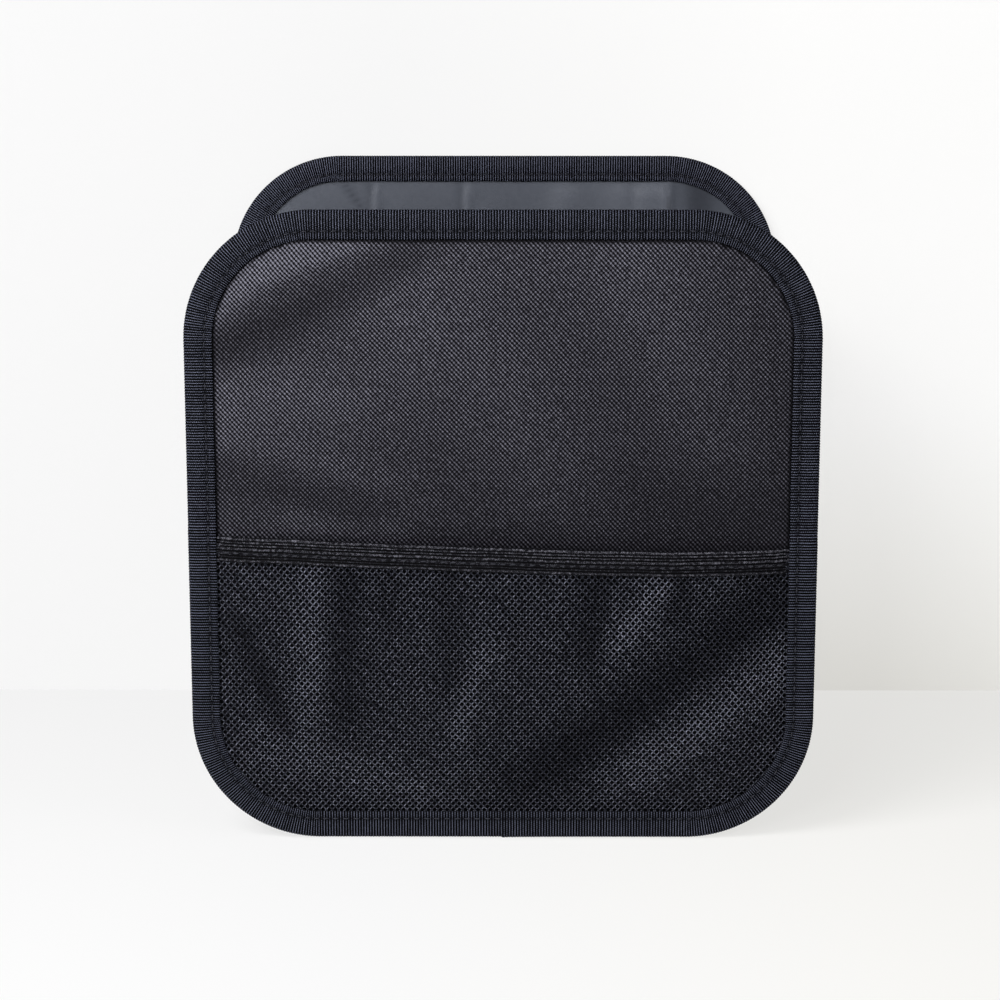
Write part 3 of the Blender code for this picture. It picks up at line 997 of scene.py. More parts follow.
@dataclass
class Panel:
    """The front or back panel: outer cloth, board, lining, binding tape and its two rows of stitches."""

    side: Side
    shape: PanelShape
    finishes: Finishes
    outer_folds: tuple[Fold, ...] = ()
    lining_folds: tuple[Fold, ...] = ()
    pocket_layer: float = 0.0
    pocket_edge: tuple[float, float] = (0.0, 0.0)
    section: TapeSection = TapeSection()
    seed: float = 0.0
    # Painted light: a gain on the tape's colour, lighter on the back panel's tape.
    tape_painted_light: float = 1.0
    outer_rows: int = 90
    outer_turns: int = 22
    unevenness: float = 0.10 * MM
    fold_margin: float = 14 * MM
    # The next two are painted shade: a painted shadow along the tape's inner edge, and painted shade on the
    # cloth behind the pocket.
    seam_shadow: float = 0.12
    pocket_shade: float = 0.45
    lining_rows: int = 44
    lining_turns: int = 26
    # Scale of the painted shade and light on the lining's creases.
    crease_depth: float = 2.0 * MM
    lining_narrowing: float = 20 * MM
    step_start: float = 0.3 * MM
    step_length: float = 6 * MM
    joint_width: float = 0.9 * MM
    joint_length: float = 18 * MM
    joint_fold: float = 0.28 * MM
    joint_lift: float = 0.30 * MM
    joint_step: float = 0.5 * MM
    pucker: float = 0.07 * MM
    fray: float = 0.16 * MM
    layer_inset: float = 1.0 * MM
    fabric: float = 0.45 * MM
    lining_face: float = 2.6 * MM
    tape_outside: float = -1.0 * MM
    tape_inside: float = 4.1 * MM
    gusset_inset: float = 13.6 * MM
    stitch_pitch: float = 4.6 * MM
    stitch_length: float = 3.3 * MM
    stitch_radius: float = 0.27 * MM

    @property
    def prefix(self) -> str:
        """The start of this panel's piece names."""
        return self.side.name.lower()

    def outside(self, x: Array, z: Array) -> Array:
        """Depth of the tape's outer face, which steps outwards below the pocket's mouth.

        Args:
            x: X of the points.
            z: Z of the points.

        Returns:
            Depths behind the outer face of the fabric, negative in front of it.
        """
        above = z - self.shape.mouth_height(self.pocket_edge, x)
        below = 1 - smooth_rise((above - self.step_start) / self.step_length)
        return self.tape_outside - self.pocket_layer * below

    def build_outer(self) -> Piece:
        """The outer cloth: a filled outline, raised off the board by its folds and a slow unevenness.

        Its crest is low under the tape's edge and behind the pocket, and follows the folds' heights: a
        painted shadow along the tape's edge, painted shade behind the pocket and on the folds' low sides,
        and painted light on their high sides.

        Returns:
            The piece.
        """
        columns = 150 if self.outer_folds else 96
        x, z = self.shape.sheet_grid(self.layer_inset, columns, self.outer_rows, self.outer_turns)
        seam = self.shape.inside(x, z, self.section.reach)
        wide = waves(x + 0.3 * z, (0.071, 0.113, 0.049), 1.3)
        high = waves(z - 0.2 * x, (0.083, 0.059), 2.1)
        relief = folded(self.outer_folds, x, z)
        loose = relief + (wide + high) * self.unevenness + 2.5 * self.unevenness
        raised = np.maximum(loose, 0.0) * smooth_rise(seam / self.fold_margin)
        # Painted shadow: the cloth darkens along the tape's inner edge.
        shade = self.seam_shadow
        crest = shade + (1 - shade) * smooth_rise((seam - 0.1 * MM) / (0.9 * MM))
        # Painted light and shade: lighter on the folds' high sides, darker on their low sides.
        crest = crest * np.clip(1 + relief / self.fold_margin, 0.6, 1.25)
        if self.pocket_layer > 0:
            above = z - self.shape.mouth_height(self.pocket_edge, x)
            # Painted shade: darker on the cloth behind the pocket.
            shade = self.pocket_shade
            crest = crest * (shade + (1 - shade) * smooth_rise((above + 8 * MM) / (9 * MM)))
        face = self.shape.at(self.side, x, -raised, z)
        back = self.shape.at(self.side, x, self.fabric - raised, z)
        surface = cloth(face, back, joined(x, z), crest)
        fabric = f"{self.prefix}_outer_fabric"
        return surface.put(f"{self.prefix}_outer_cloth", self.finishes.oxford, "oxford", (fabric,))

    def build_lining(self) -> Piece:
        """The lining inside the panel, loose in soft upright creases that fade towards the tape.

        It is as narrow as the gusset is up to the gusset's top, and widens to the tape just above it.

        Returns:
            The piece.
        """
        columns = 200 if self.side is Side.BACK else 80
        top = self.shape.gusset_top
        widening = tuple(top + step * MM for step in (0.6, 1.2, 1.8, 2.4))
        cells = (columns, self.lining_rows, self.lining_turns)
        x, z = self.shape.sheet_grid(self.layer_inset, *cells, self.gusset_inset, widening)
        width = self.shape.half_width(z, self.layer_inset)
        narrow = self.shape.half_width(z, self.gusset_inset)
        x = x / width * (narrow + (width - narrow) * smooth_rise((z - top) / (3 * MM)))
        fade = smooth_rise(self.shape.inside(x, z, 14.0 * MM) / (6 * MM))
        slow = 0.12 * MM * (1 + waves(x, (0.041, 0.067, 0.029), self.seed))
        relief = folded(self.lining_folds, x, z)
        raised = self.lining_face + np.clip(relief + slow, 0.0, 3 * MM) * fade
        face = self.shape.at(self.side, x, raised, z)
        inside = self.shape.at(self.side, x, raised + self.fabric, z)
        # Painted shade on the creases' low sides and painted light on their high sides.
        crest = np.clip(1 + relief / self.crease_depth, 0.2, 1.3)
        surface = cloth(face, inside, joined(x, z), crest)
        lining = f"{self.prefix}_lining"
        return surface.put(f"{lining}_cloth", self.finishes.lining, "lining", (lining,))

    def build_tape(self) -> Piece:
        """The binding: its section carried round the outline, with ribs, puckers and an overlapped joint.

        A point is the outline at its distance, plus its inset along the inward normal. Its depth is
        that of its leg's face plus its own. The ribs move it along its rib direction, and a slow wave
        moves the raw edges. At the bottom middle the ribs give way to the folded end of the tape, which
        is raised by exp(-(distance over its width) squared). Past it the tape lies over its own start
        and is raised by exp(-distance over the joint's length).

        Returns:
            The piece.
        """
        length = self.shape.perimeter
        place, raised, coordinate = self.section.ribs(length, True)
        inset, outer, under, rib_inset, rib_depth = self.section.points()
        outline, normal = self.shape.trace(place)
        outside = self.outside(outline[:, 0], outline[:, 1])
        from_joint = np.minimum(place, length - place)
        after_joint = np.where(place < length / 2, np.exp(-place / self.joint_length), 0.0)
        plain = np.exp(-((from_joint / self.joint_width) ** 2))
        strength = 0.85 + 0.15 * waves(place, (0.0077, 0.0031), 2.0)
        height = self.section.rib_height * raised * (1 - plain) * strength
        height = height + self.joint_fold * plain + self.joint_lift * after_joint
        pucker = self.pucker * np.cos(2 * math.pi * place / self.stitch_pitch)
        frayed = self.fray * waves(place, (0.047, 0.031, 0.0043, 0.0029), self.seed)
        edge = frayed + self.joint_step * after_joint * plain
        raw = np.clip((inset - 9 * MM) / (3 * MM), 0.0, 1.0)
        moved = inset + edge[:, None] * raw + height[:, None] * rib_inset
        base = outside[:, None] * outer + self.tape_inside * (1 - outer)
        near_seam = np.exp(-(((inset - self.section.stitch_inset) / (2 * MM)) ** 2))
        depth = base + under + height[:, None] * rib_depth + pucker[:, None] * near_seam * (2 * outer - 1)
        spot = outline[:, None] + moved[..., None] * normal[:, None]
        points = self.shape.at(self.side, spot[..., 0], depth, spot[..., 1])
        girth = self.section.girth(inset, under + (1 - outer) * 5 * MM)
        along = np.append(coordinate, round(length / self.section.rib_pitch) * self.section.rib_pitch)
        uv = joined(along[:, None], girth)
        # Painted shade where the tape's end folds over at the joint, in the stitched groove and at the raw
        # edges, times the tape's painted light.
        joint_shade = 0.5 * np.exp(-((from_joint / (self.joint_width / 2)) ** 2))
        crest = self.tape_painted_light * self.section.crest(inset) * (1 - joint_shade[:, None])
        name = f"{self.prefix}_binding"
        return tube(points, uv, True, crest).put(name, self.finishes.tape, "tape", (f"{name}_tape",))

    def build_stitches(self) -> Piece:
        """Both rows of stitches in the tape's grooves, each stitch dipping into the tape at its ends.

        Returns:
            The piece.
        """
        length = self.shape.perimeter
        count = round(length / self.stitch_pitch)
        middle = (np.arange(count) + 0.5) * length / count
        place, dip = stitched(middle, self.stitch_length, 0.12 * MM)
        outline, normal = self.shape.trace(place)
        slant = 0.10 * MM * np.sin(middle * 2513.0)[:, None] * STITCH_SHARE
        line = outline + (self.section.stitch_inset + slant)[..., None] * normal
        outer_row = self.outside(outline[..., 0], outline[..., 1]) + self.section.groove + dip
        inner_row = np.broadcast_to(self.tape_inside - self.section.groove - dip, place.shape)
        x, z = line[..., 0], line[..., 1]
        centre = np.concatenate([self.shape.at(self.side, x, row, z) for row in (outer_row, inner_row)])
        across = np.concatenate([joined(normal[..., 0], 0.0, normal[..., 1])] * 2)
        lift = np.broadcast_to([0.0, 1.0, 0.0], centre.shape)
        surface = threads(centre, across, lift, self.stitch_radius)
        return surface.put(f"{self.prefix}_binding_stitches", self.finishes.thread, "tape")

    def build(self) -> None:
        """Builds the whole panel."""
        outer = self.build_outer()
        lining = self.build_lining()
        tape = self.build_tape()
        stitches = self.build_stitches()
        self.finishes.dress(f"{self.prefix}_stiffener_board")


# ---- pocket


@dataclass
class Pocket:
    """The front pocket: a mesh of round holes in two halves, and the elastic band along its mouth.

    strand gives the lift in millimetres, and between and around give the crests, of a cell's eight
    border points and eight hole points, which start at the cell's right and go on towards its top. The
    crests are painted light on the strands' tops, most on one diagonal, and painted shade towards the
    holes. The profile's rows are the band's distance down from the mouth and its height there, in
    millimetres.
    """

    shape: PanelShape
    finishes: Finishes
    folds: tuple[Fold, ...]
    mouth: tuple[float, float] = (141.1 * MM, 135.1 * MM)
    band_width: float = 11.5 * MM
    band_length: float = 273 * MM
    stand_off: float = 11.0 * MM
    rise: float = 65 * MM
    left_share: float = 0.3
    lean: tuple[float, float] = (-130 * MM, 40 * MM)
    tape_reach: float = 12.5 * MM
    clearance: float = 0.3 * MM
    columns: int = 52
    column_pitch: float = 2.82 * MM
    row_pitch: float = 3.20 * MM
    hole: tuple[float, float] = (0.90 * MM, 0.97 * MM)
    yarn: float = 0.50 * MM
    strand: tuple = (0.10, 0.06, 0.10, 0.17, 0.10, 0.06, 0.10, 0.17)
    # Painted light on the strands' tops and painted shade towards the holes.
    between: tuple = (0.55, 0.88, 0.55, 1.05, 0.55, 0.88, 0.55, 1.05)
    around: tuple = (0.48, 0.50, 0.48, 0.66, 0.48, 0.50, 0.48, 0.66)
    # Painted light and shade on the mesh's folds, and painted shade on its rear layer.
    fold_shade_scale: float = 5 * MM
    rear_shade: float = 0.2
    hidden: float = 3.0 * MM
    stitch_pitch: float = 4.4 * MM
    stitch_length: float = 3.1 * MM
    stitch_down: float = 7.3 * MM
    stitch_height: float = 0.66 * MM
    stitch_radius: float = 0.26 * MM
    profile: tuple = (
        (0.0, 0.05), (0.2, 0.60), (0.7, 0.74), (1.2, 0.58), (1.45, 0.30), (1.7, 0.30), (1.95, 0.56),
        (2.3, 0.60), (2.65, 0.50), (2.85, 0.20), (3.1, 0.20), (3.35, 0.56), (3.65, 0.62), (4.0, 0.52),
        (4.2, 0.18), (4.5, 0.18), (4.75, 0.54), (5.3, 0.62), (5.85, 0.54), (6.1, 0.16), (6.4, 0.16),
        (6.65, 0.54), (7.3, 0.46), (7.95, 0.54), (8.2, 0.12), (8.5, 0.12), (8.75, 0.50), (9.2, 0.52),
        (9.45, 0.12), (9.75, 0.12), (10.0, 0.50), (10.6, 0.58), (11.15, 0.50), (11.4, 0.10), (11.5, 0.02),
    )

    def band_top(self, x: Array) -> Array:
        """Height of the mouth, which slopes a little from left to right."""
        return self.shape.mouth_height(self.mouth, x)

    def free(self, x: Array, z: Array) -> Array:
        """How far points lie inside the tape's inner edge."""
        return self.shape.inside(x, z, self.tape_reach + self.clearance)

    def bulge(self, x: Array, z: Array) -> Array:
        """How far the taut mesh stands off: a quarter of a sine in from the tape, and less on the left.

        Args:
            x: X of the points.
            z: Z of the points.

        Returns:
            Distances in front of the panel.
        """
        start, end = self.lean
        slack = self.left_share + (1 - self.left_share) * smooth_rise((x - start) / (end - start))
        rising = np.clip(self.free(x, z) / self.rise, 0.0, 1.0)
        return self.stand_off * slack * np.sin(math.pi / 2 * rising)

    def stand(self, x: Array, z: Array) -> Array:
        """How far the mesh stands off the panel: its bulge, with the folds added below the band.

        Args:
            x: X of the points.
            z: Z of the points.

        Returns:
            Distances in front of the panel.
        """
        loose = smooth_rise((self.band_top(x) - self.band_width - z) / (6 * MM))
        edge = smooth_rise(self.free(x, z) / (16 * MM))
        slack = folded(self.folds, x, z) * loose * edge
        return np.maximum(self.bulge(x, z) + slack, 0.25 * MM * edge)

    def holes(self, hand: Hand) -> tuple[Array, Array]:
        """X and Z of one half's holes, on a lattice whose rows are shifted by half a pitch.

        Args:
            hand: the half, left or right.

        Returns:
            X and Z of the holes' middles.
        """
        rows = np.arange(-2, int(self.mouth[0] / (self.row_pitch / 2)) + 3)
        column, row = np.meshgrid(np.arange(-self.columns, self.columns + 1), rows)
        x = ((column + 0.5 * (row % 2)) * self.column_pitch).ravel()
        z = (row * self.row_pitch / 2).ravel()
        kept = self.shape.inside(x, z, self.tape_reach - self.hidden) > 0
        kept &= z < self.band_top(x) - 2.5 * MM
        kept &= (x < -0.01 * MM) if hand is Hand.LEFT else (x >= -0.01 * MM)
        return x[kept], z[kept]

    def build_half(self, hand: Hand) -> Piece:
        """One half of the mesh.

        A cell is a lozenge round one hole: eight points on its border, shared with its neighbours, and
        eight round the hole, each from the right and on towards the top. The border is raised, so that
        every strand is rounded, and a second layer behind closes it.

        Args:
            hand: the half, left or right.

        Returns:
            The half's object.
        """
        a, b = self.column_pitch, self.row_pitch
        x, z = self.holes(hand)
        turn = np.arange(8) * math.pi / 4
        border = np.array([(2, 0), (1, 1), (0, 2), (-1, 1), (-2, 0), (-1, -1), (0, -2), (1, -1)])
        keys = joined(np.rint(x / (a / 4)), np.rint(z / (b / 4)))[:, None] + border
        shared, back = np.unique(keys.reshape(-1, 2), axis=0, return_inverse=True)
        outer = back.reshape(-1, 8)
        spots = shared * [a / 4, b / 4]
        raised = np.zeros(len(shared))
        raised[outer] = np.array(self.strand) * MM
        uneven = 1 + 0.07 * waves(x * 3.1 + z * 1.7, (0.011, 0.017), 0.4)[:, None]
        round_x = x[:, None] + self.hole[0] * np.cos(turn) * uneven
        round_z = z[:, None] + self.hole[1] * np.sin(turn) * uneven
        flat = np.concatenate([spots, joined(round_x.ravel(), round_z.ravel())])
        lift = np.concatenate([raised, np.full(len(x) * 8, -0.12 * MM)])
        holes = len(shared) + np.arange(len(x) * 8).reshape(-1, 8)
        flat_x, flat_z = flat.T
        away = self.clearance + self.stand(flat_x, flat_z)
        face = self.shape.at(Side.FRONT, flat_x, -away - self.yarn - lift, flat_z)
        rear = self.shape.at(Side.FRONT, flat_x, -away, flat_z)
        count = len(flat)
        outer_after, holes_after = np.roll(outer, -1, axis=1), np.roll(holes, -1, axis=1)
        ring = joined(outer, outer_after, holes_after, holes).reshape(-1, 4)
        wall = joined(holes, holes_after, holes_after + count, holes + count).reshape(-1, 4)
        edges = joined(outer, outer_after).reshape(-1, 2)
        sorted_edges = np.sort(edges, axis=1)
        _, where, times = np.unique(sorted_edges, axis=0, return_inverse=True, return_counts=True)
        start, end = edges[times[where.ravel()] == 1].T
        rim = joined(end, start, start + count, end + count)
        faces = np.concatenate([ring, ring[:, ::-1] + count, wall, rim])
        points = np.concatenate([face, rear])
        both = np.concatenate([flat, flat])
        # Painted light and shade: the folds, the strands' tops and holes, and the darker rear layer.
        fold_painted_light = np.clip(1 + folded(self.folds, flat_x, flat_z) / self.fold_shade_scale, 0.6, 1.4)
        border_crest = np.ones(len(shared))
        border_crest[outer] = np.array(self.between)
        crest = np.concatenate([border_crest, np.tile(self.around, len(x))]) * fold_painted_light
        crest = np.concatenate([crest, self.rear_shade * crest])
        surface = Surface(points, faces, both[faces], crest=crest)
        made = surface.put(f"pocket_mesh_{hand.name.lower()}", self.finishes.net, "mesh", ("pocket_mesh",))
        return made

    def band_depth(self, x: Array, z: Array) -> Array:
        """Depth of the band's back face: over the mesh, and in the mesh's own layer under the tape."""
        return -self.clearance - 0.9 * MM * smooth_rise(self.free(x, z) / (6 * MM)) - self.bulge(x, z)

    def build_band(self) -> Piece:
        """The elastic band: a table of heights across it, carried along the mouth.

        Returns:
            The piece.
        """
        across, heights = np.array(self.profile).T * MM
        x = np.linspace(-self.band_length / 2, self.band_length / 2, 200)
        z = self.band_top(x)[None, :] - across[:, None]
        x = np.broadcast_to(x, z.shape)
        sag = 0.16 * MM * waves(x, (0.047, 0.083, 0.031), 0.6)
        z = z + sag * smooth_rise(self.free(x, z) / (20 * MM))
        back = self.band_depth(x, z)
        under = 1 - smooth_rise(self.shape.inside(x, z, 12.2 * MM) / (3 * MM))
        thick = (0.25 * MM + heights[:, None]) * (1 - 0.45 * under)
        uv = joined(x, -across[:, None])
        face = self.shape.at(Side.FRONT, x, back - thick, z)
        rear = self.shape.at(Side.FRONT, x, back, z)
        # Painted shade: the band's grooves are darker.
        crest = np.clip((heights[:, None] - 0.2 * MM) / (0.4 * MM), 0.05, 1.0)
        surface = cloth(face, rear, uv, np.broadcast_to(crest, z.shape))
        return surface.put("pocket_band", self.finishes.elastic, "elastic", ("pocket_elastic_band",))

    def build_stitches(self) -> Piece:
        """The row of stitches along the band, in the shallow hollow of its profile.

        Returns:
            The piece.
        """
        middle = np.arange(-28, 29) * self.stitch_pitch
        x, dip = stitched(middle, self.stitch_length, 0.10 * MM)
        slant = 0.16 * MM * STITCH_SHARE * (1 + 0.4 * np.sin(middle * 3137.0))[:, None]
        z = self.band_top(x) - self.stitch_down + slant
        centre = self.shape.at(Side.FRONT, x, self.band_depth(x, z) - self.stitch_height + dip, z)
        across = np.broadcast_to([0.0, 0.0, 1.0], centre.shape)
        lift = np.broadcast_to([0.0, -1.0, 0.0], centre.shape)
        surface = threads(centre, across, lift, self.stitch_radius)
        return surface.put("pocket_band_stitches", self.finishes.thread, "elastic")

    def build(self) -> None:
        """Builds the band, its stitches and both halves of the mesh."""
        band = self.build_band()
        stitches = self.build_stitches()
        for hand in Hand:
            self.build_half(hand)


# ---- gusset


@dataclass
class Gusset:
    """The strip that joins the panels: outer cloth, lining, boards, and a taped hem on each side's top.

    edge and wall are the insets across its outer and inner faces, from an edge inwards, in millimetres.
    """

    shape: PanelShape
    finishes: Finishes
    section: TapeSection = TapeSection()
    wall_out: float = 12.8
    wall_in: float = 13.3
    edge_out: tuple[float, float, float] = (1.0, 7.0, 12.2)
    edge_in: tuple[float, float, float] = (1.0, 7.0, 12.6)
    wall_columns: int = 19
    fabric: float = 0.5 * MM
    flange: float = 2.6 * MM
    turn: float = 4.2 * MM
    belly: float = 1.1 * MM
    pucker: float = 0.13 * MM
    lining: float = 15.4 * MM
    lining_end: float = 3.4 * MM
    swell: float = 0.35 * MM
    hem_top: float = 230.0 * MM
    hem_face: float = 128.25 * MM
    hem_thick: float = 5.2 * MM
    hem_ends: tuple[float, float] = (-103.4 * MM, 115.6 * MM)
    stitch_pitch: float = 4.6 * MM
    stitch_length: float = 3.2 * MM
    stitch_radius: float = 0.27 * MM

    @property
    def half_run(self) -> float:
        """Distance along the outline from the bottom middle to the gusset's end."""
        shape = self.shape
        return shape.width / 2 - shape.radius + math.pi / 2 * shape.radius + shape.gusset_top - shape.radius

    def lay(self, place: Array, inset: Array, depth: Array) -> Array:
        """Points at distances along the outline, insets from it and depths behind the front panel.

        Args:
            place: distances along the outline.
            inset: distances inside it.
            depth: distances behind the front panel's outer face.

        Returns:
            The points.
        """
        outline, normal = self.shape.trace(place)
        spot = outline + inset[..., None] * normal
        return self.shape.at(Side.FRONT, spot[..., 0], depth, spot[..., 1])

    def free(self, along: Array, fade: float) -> Array:
        """A column that rises from 0 near the gusset's ends to 1 further down."""
        return smooth_rise((self.half_run - np.abs(along) - 12 * MM) / fade)[:, None]

    def build_outer(self) -> Piece:
        """The outer cloth: a channel whose edges turn out under the panels' tapes.

        Its wall stands proud by a slow wave that is widest half way between the panels, and by short
        puckers that fade as exp(-(distance from the seam over 7 mm) squared).

        Returns:
            The piece.
        """
        along = np.linspace(-self.half_run, self.half_run, 360)
        inner_run = np.linspace(self.turn, self.shape.depth - self.turn, self.wall_columns)
        near, far = self.flange, self.shape.depth - self.flange
        inset_out, inset_in = (
            np.array([*edge, *([wall] * self.wall_columns), *reversed(edge)]) * MM
            for edge, wall in ((self.edge_out, self.wall_out), (self.edge_in, self.wall_in))
        )
        depth_out = np.concatenate([[near + self.fabric] * 3, inner_run, [far - self.fabric] * 3])
        depth_in = np.concatenate([[near] * 3, inner_run, [far] * 3])
        share = np.clip((depth_out - near) / (far - near), 0.0, 1.0)
        from_seam = np.minimum(depth_out - near, far - depth_out)
        swell = 0.55 + 0.45 * waves(along, (0.13, 0.21, 0.083), 0.9)[:, None]
        belly = np.sin(math.pi * share) ** 2 * swell * self.belly
        gather = 1 + waves(along, (0.0092, 0.0147), 0.3)[:, None]
        pucker = np.exp(-((from_seam / (7 * MM)) ** 2)) * gather * self.pucker
        wall = (inset_out > 12.5 * MM).astype(float)
        proud = (belly + pucker) * self.free(along, 30 * MM) * wall
        place = np.broadcast_to(along[:, None], proud.shape)
        outer = self.lay(place, inset_out - proud, np.broadcast_to(depth_out, proud.shape))
        inner = self.lay(place, inset_in - proud, np.broadcast_to(depth_in, proud.shape))
        steps = (np.diff(values, prepend=values[0]) for values in (inset_out, depth_out))
        run = np.cumsum(np.hypot(*steps))
        uv = joined(run, along[:, None])
        surface = cloth(outer, inner, uv)
        made = surface.put("gusset_outer_cloth", self.finishes.oxford, "oxford", ("gusset_outer_fabric",))
        return made

    def build_lining(self) -> Piece:
        """The lining inside the gusset, with slow waves that move it into the box.

        Returns:
            The piece.
        """
        along = np.linspace(-self.half_run, self.half_run, 220)
        depth = np.linspace(self.lining_end, self.shape.depth - self.lining_end, 25)
        uneven = 1 + waves(along, (0.097, 0.061, 0.171), 2.4)[:, None]
        swell = np.sin(math.pi * np.linspace(0, 1, 25)) * uneven * self.swell
        inset = self.lining + swell * self.free(along, 20 * MM)
        place = np.broadcast_to(along[:, None], inset.shape)
        behind = np.broadcast_to(depth, inset.shape)
        outer = self.lay(place, inset, behind)
        inner = self.lay(place, inset + self.fabric, behind)
        uv = joined(depth, along[:, None])
        surface = cloth(outer, inner, uv)
        made = surface.put("gusset_lining_cloth", self.finishes.lining, "lining", ("gusset_lining",))
        return made

    def build_hem(self, hand: Hand) -> None:
        """The tape folded over the top edge of one side, and its two rows of stitches.

        The tape's section is turned so that its insets go down from the top and its depths inwards.

        Args:
            hand: the side, left or right.
        """
        top, face, thick = self.hem_top, self.hem_face, self.hem_thick
        start, end = self.hem_ends
        place, raised, coordinate = self.section.ribs(end - start, False)
        inset, outer, under, rib_inset, rib_depth = self.section.points()
        height = self.section.rib_height * raised
        frayed = 0.12 * MM * waves(place, (0.043, 0.019), hand.value)
        down = inset + height[:, None] * rib_inset + frayed[:, None]
        inwards = thick * (1 - outer) + under + height[:, None] * rib_depth
        y = np.broadcast_to((start + place)[:, None], inwards.shape)
        points = joined(hand.value * (face - inwards), y, top - down)
        girth = self.section.girth(inset, under + (1 - outer) * thick)
        uv = joined(coordinate[:, None], girth)
        name = f"{hand.name.lower()}_side_hem"
        # Painted shade in the stitched groove and a painted shadow at the raw edges.
        crest = np.broadcast_to(self.section.crest(inset), points.shape[:2])
        tube(points, uv, False, crest).put(name, self.finishes.tape, "tape", (f"{name}_tape",))
        count = int((end - start - 8 * MM) / self.stitch_pitch)
        middle = (start + end) / 2 + (np.arange(count) - (count - 1) / 2) * self.stitch_pitch
        y, dip = stitched(middle, self.stitch_length, 0.12 * MM)
        depths = (self.section.groove + dip, thick - self.section.groove - dip)
        down = top - self.section.stitch_inset
        centre = np.concatenate([joined(hand.value * (face - depth), y, down) for depth in depths])
        across = np.broadcast_to([0.0, 0.0, 1.0], centre.shape)
        lift = np.broadcast_to([1.0, 0.0, 0.0], centre.shape)
        surface = threads(centre, across, lift, self.stitch_radius)
        surface.put(f"{name}_stitches", self.finishes.thread, "tape")

    def build(self) -> None:
        """Builds the whole gusset."""
        self.build_outer()
        self.build_lining()
        for hand in Hand:
            self.build_hem(hand)
        self.finishes.dress("left_side_stiffener_board", "right_side_stiffener_board", "base_stiffener_board")


# ---- studio


@dataclass
class Studio:
    """The pale floor and wall, the lights, and the camera at the photograph's angle."""

    wall_y: float = 0.1235
    floor_z: float = -0.5 * MM
    ambient: float = 0.13
    backdrop: float = 0.72
    camera_place: tuple[float, float, float] = (0.0031, -1.3191, 0.4350)
    camera_turn: tuple[float, float, float] = (77.084, 0.0, 0.207)
    lens: float = 100.8
    reach: float = 9.0
    floor: StudioPaint = StudioPaint("floor_paint", 0.88, 0.735, 0.03, 0.12, (1.0, 0.993, 0.965))
    wall: StudioPaint = StudioPaint("wall_paint", 0.60, 0.82, 0.22, 0.60, (1.0, 0.985, 0.93))
    lamps: tuple = (
        ("key", (-0.60, -0.70, 0.92), (0.0, -0.1, 0.15), 0.60, 11.5),
        ("front", (-0.60, -1.75, 0.90), (0.0, -0.1, 0.15), 0.60, 11.0),
        ("right", (1.1, -0.7, 0.7), (0.0, 0.0, 0.1), 0.8, 2.5),
    )

    def sheet(self, name: str, corner: tuple, first: tuple, second: tuple, paint: StudioPaint) -> Piece:
        """A flat sheet of the stage: a corner plus shares of two edges.

        Args:
            name: the sheet's name.
            corner: its first corner.
            first: its first edge.
            second: its second edge. The front is where first turned to second is seen leftwards.
            paint: its finish.

        Returns:
            The stage object.
        """
        share = np.linspace(0, 1, 5)
        points = corner + share[:, None, None] * first + share[None, :, None] * second
        index = np.arange(25).reshape(5, 5)
        mesh = bpy.data.meshes.new(name)
        mesh.from_pydata(points.reshape(-1, 3).tolist(), [], corners_of(index)[:, ::-1].tolist())
        mesh.materials.append(paint.material())
        made = bpy.data.objects.new(name, mesh)
        bpy.context.scene.collection.objects.link(made)
        return made

    def light(self, name: str, place: tuple, target: tuple, size: float, watts: float) -> None:
        """A soft square lamp that looks at a point.

        Args:
            name: the lamp's name.
            place: where it hangs.
            target: the point it faces.
            size: the length of its side.
            watts: its power.
        """
        lamp = bpy.data.lights.new(name, "AREA")
        lamp.shape = "SQUARE"
        lamp.size = size
        lamp.energy = watts
        made = bpy.data.objects.new(name, lamp)
        from_target = np.array(place, dtype=float) - np.array(target, dtype=float)
        across = math.hypot(from_target[0], from_target[1])
        turn = math.atan2(from_target[0], -from_target[1])
        made.rotation_euler = (math.atan2(across, from_target[2]), 0.0, turn)
        made.location = place
        made.visible_camera = False
        bpy.context.scene.collection.objects.link(made)

    def build(self) -> None:
        """Sets up the stage, the lamps, the world and the camera."""
        reach, across = self.reach, (2 * self.reach, 0.0, 0.0)
        self.sheet("floor", (-reach, -reach, self.floor_z), across, (0.0, 2 * reach, 0.0), self.floor)
        wall = self.sheet("wall", (-reach, self.wall_y, self.floor_z), across, (0.0, 0.0, reach), self.wall)
        wall.visible_diffuse = False
        wall.visible_glossy = False
        wall.visible_shadow = False
        for lamp in self.lamps:
            self.light(*lamp)
        world = bpy.data.worlds.new("studio_world")
        world.use_nodes = True
        nodes, links = world.node_tree.nodes, world.node_tree.links
        background = nodes["Background"]
        background.inputs["Color"].default_value = (1.0, 1.0, 1.0, 1.0)
        seen = nodes.new("ShaderNodeLightPath")
        strength = nodes.new("ShaderNodeMath")
        strength.operation = "MULTIPLY_ADD"
        strength.inputs[1].default_value = self.backdrop
        strength.inputs[2].default_value = self.ambient
        links.new(seen.outputs["Is Camera Ray"], strength.inputs[0])
        links.new(strength.outputs[0], background.inputs["Strength"])
        bpy.context.scene.world = world
        camera = bpy.data.cameras.new("photo_camera")
        camera.sensor_width = 36.0
        camera.lens = self.lens
        camera.clip_start = 0.05
        camera.clip_end = 50.0
        camera.dof.use_dof = False
        made = bpy.data.objects.new("photo_camera", camera)
        made.location = self.camera_place
        made.rotation_euler = [math.radians(angle) for angle in self.camera_turn]
        bpy.context.scene.collection.objects.link(made)
        bpy.context.scene.camera = made
        bpy.context.scene.view_settings.view_transform = "Standard"


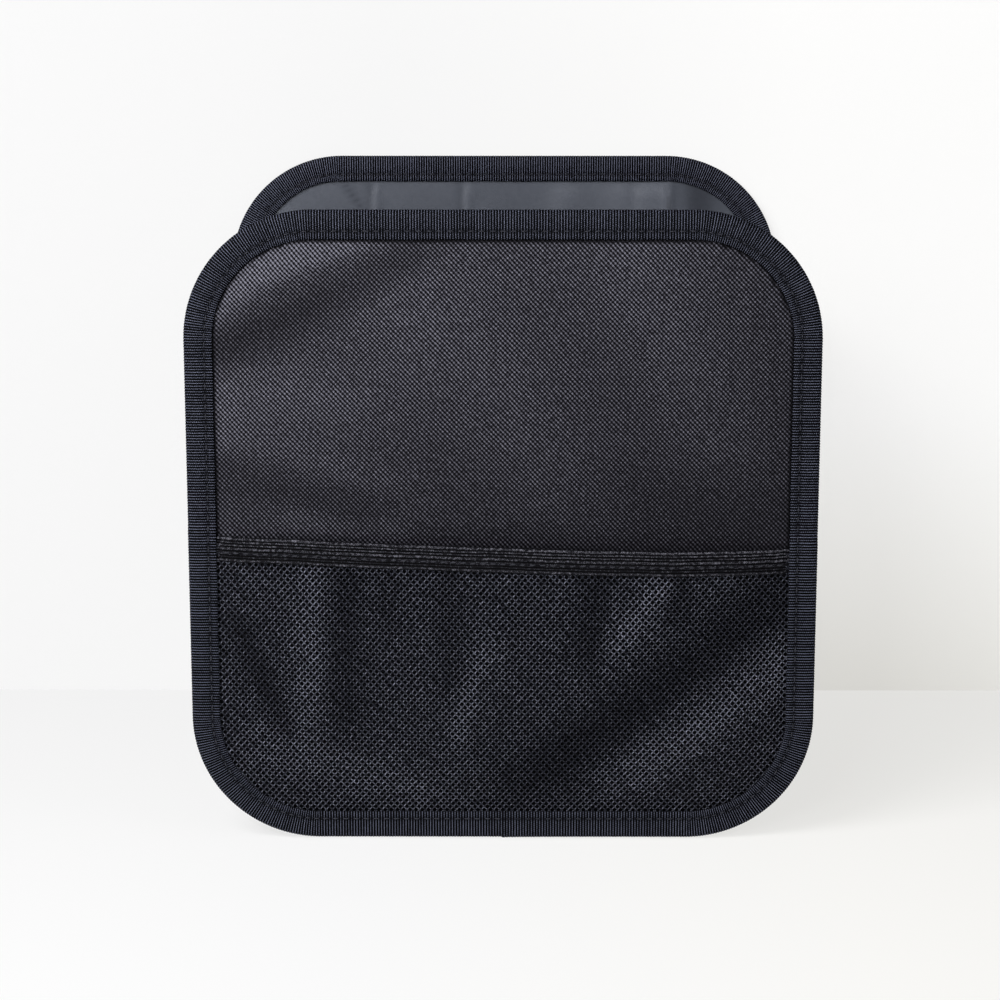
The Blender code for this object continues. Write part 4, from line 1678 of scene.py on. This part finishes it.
FRONT_FOLDS = (
    Fold((-126, 236), (-54, 272), 15.0, 3.4, FoldKind.STEP),
    Fold((-126, 205), (-70, 200), 15.0, 2.0),
    Fold((-118, 176), (-60, 158), 12.0, 1.4, FoldKind.STEP),
    Fold((-90, 147), (-50, 142), 8.0, 1.6),
    Fold((-62, 268), (30, 170), 30.0, 1.5),
    Fold((60, 262), (98, 185), 26.0, 1.6),
    Fold((62, 160), (118, 150), 15.0, -1.0),
)

MESH_FOLDS = (
    Fold((20, 34), (121, 112), 13.0, -1.2),
    Fold((64, 36), (121, 80), 12.0, 1.1),
    Fold((-79, 64), (-78, 119), 11.0, 0.9, FoldKind.STEP),
    Fold((-118, 98), (-100, 57), 6.0, -1.0),
    Fold((-50, 119), (-50, 104), 5.0, -0.7),
    Fold((-23.5, 119), (-23.5, 80), 7.0, -0.6),
    Fold((-9, 88), (-19, 54), 7.0, 0.8),
    Fold((41, 119), (38, 92), 7.0, -1.0),
    Fold((69, 119), (54, 96), 6.5, 1.3),
    Fold((79, 121), (77, 108), 5.5, -0.9),
    Fold((-100, 40), (-40, 24), 12.0, 0.7),
)

BACK_LINING_FOLDS = (
    Fold((-67.5, 290), (-67.5, 205), 2.4, 0.9, FoldKind.STEP),
    Fold((-82, 272), (-73, 259), 2.0, -1.3),
    Fold((-21, 290), (-20, 180), 3.0, 0.7, FoldKind.STEP),
    Fold((66, 290), (66, 190), 4.0, -0.9),
    Fold((86, 290), (86, 150), 20.0, -1.6, FoldKind.STEP),
    Fold((85, 290), (85, 180), 2.6, -1.0, FoldKind.STEP),
    Fold((30, 260), (24, 120), 8.0, 0.8),
    Fold((-45, 220), (-52, 90), 9.0, 0.9),
)

FRONT_LINING_FOLDS = (
    Fold((-80, 280), (-76, 150), 4.0, 0.8),
    Fold((-18, 284), (-22, 120), 6.0, 0.9),
    Fold((40, 282), (44, 160), 3.0, 0.8),
    Fold((88, 270), (80, 90), 8.0, 0.9),
)


def main() -> None:
    """Builds the organizer's sub-assemblies in order, and the studio round them."""
    logging.basicConfig(level=logging.INFO, format="%(name)s: %(message)s")
    shape = PanelShape()
    finishes = Finishes()
    pocket = Pocket(shape, finishes, MESH_FOLDS)
    layer = 1.1 * MM
    front = Panel(Side.FRONT, shape, finishes, FRONT_FOLDS, FRONT_LINING_FOLDS, layer, pocket.mouth, seed=0.7)
    front.build()
    Panel(Side.BACK, shape, finishes, (), BACK_LINING_FOLDS, seed=1.9, tape_painted_light=1.3).build()
    Gusset(shape, finishes).build()
    pocket.build()
    Studio().build()


if __name__ == "__main__":
    main()
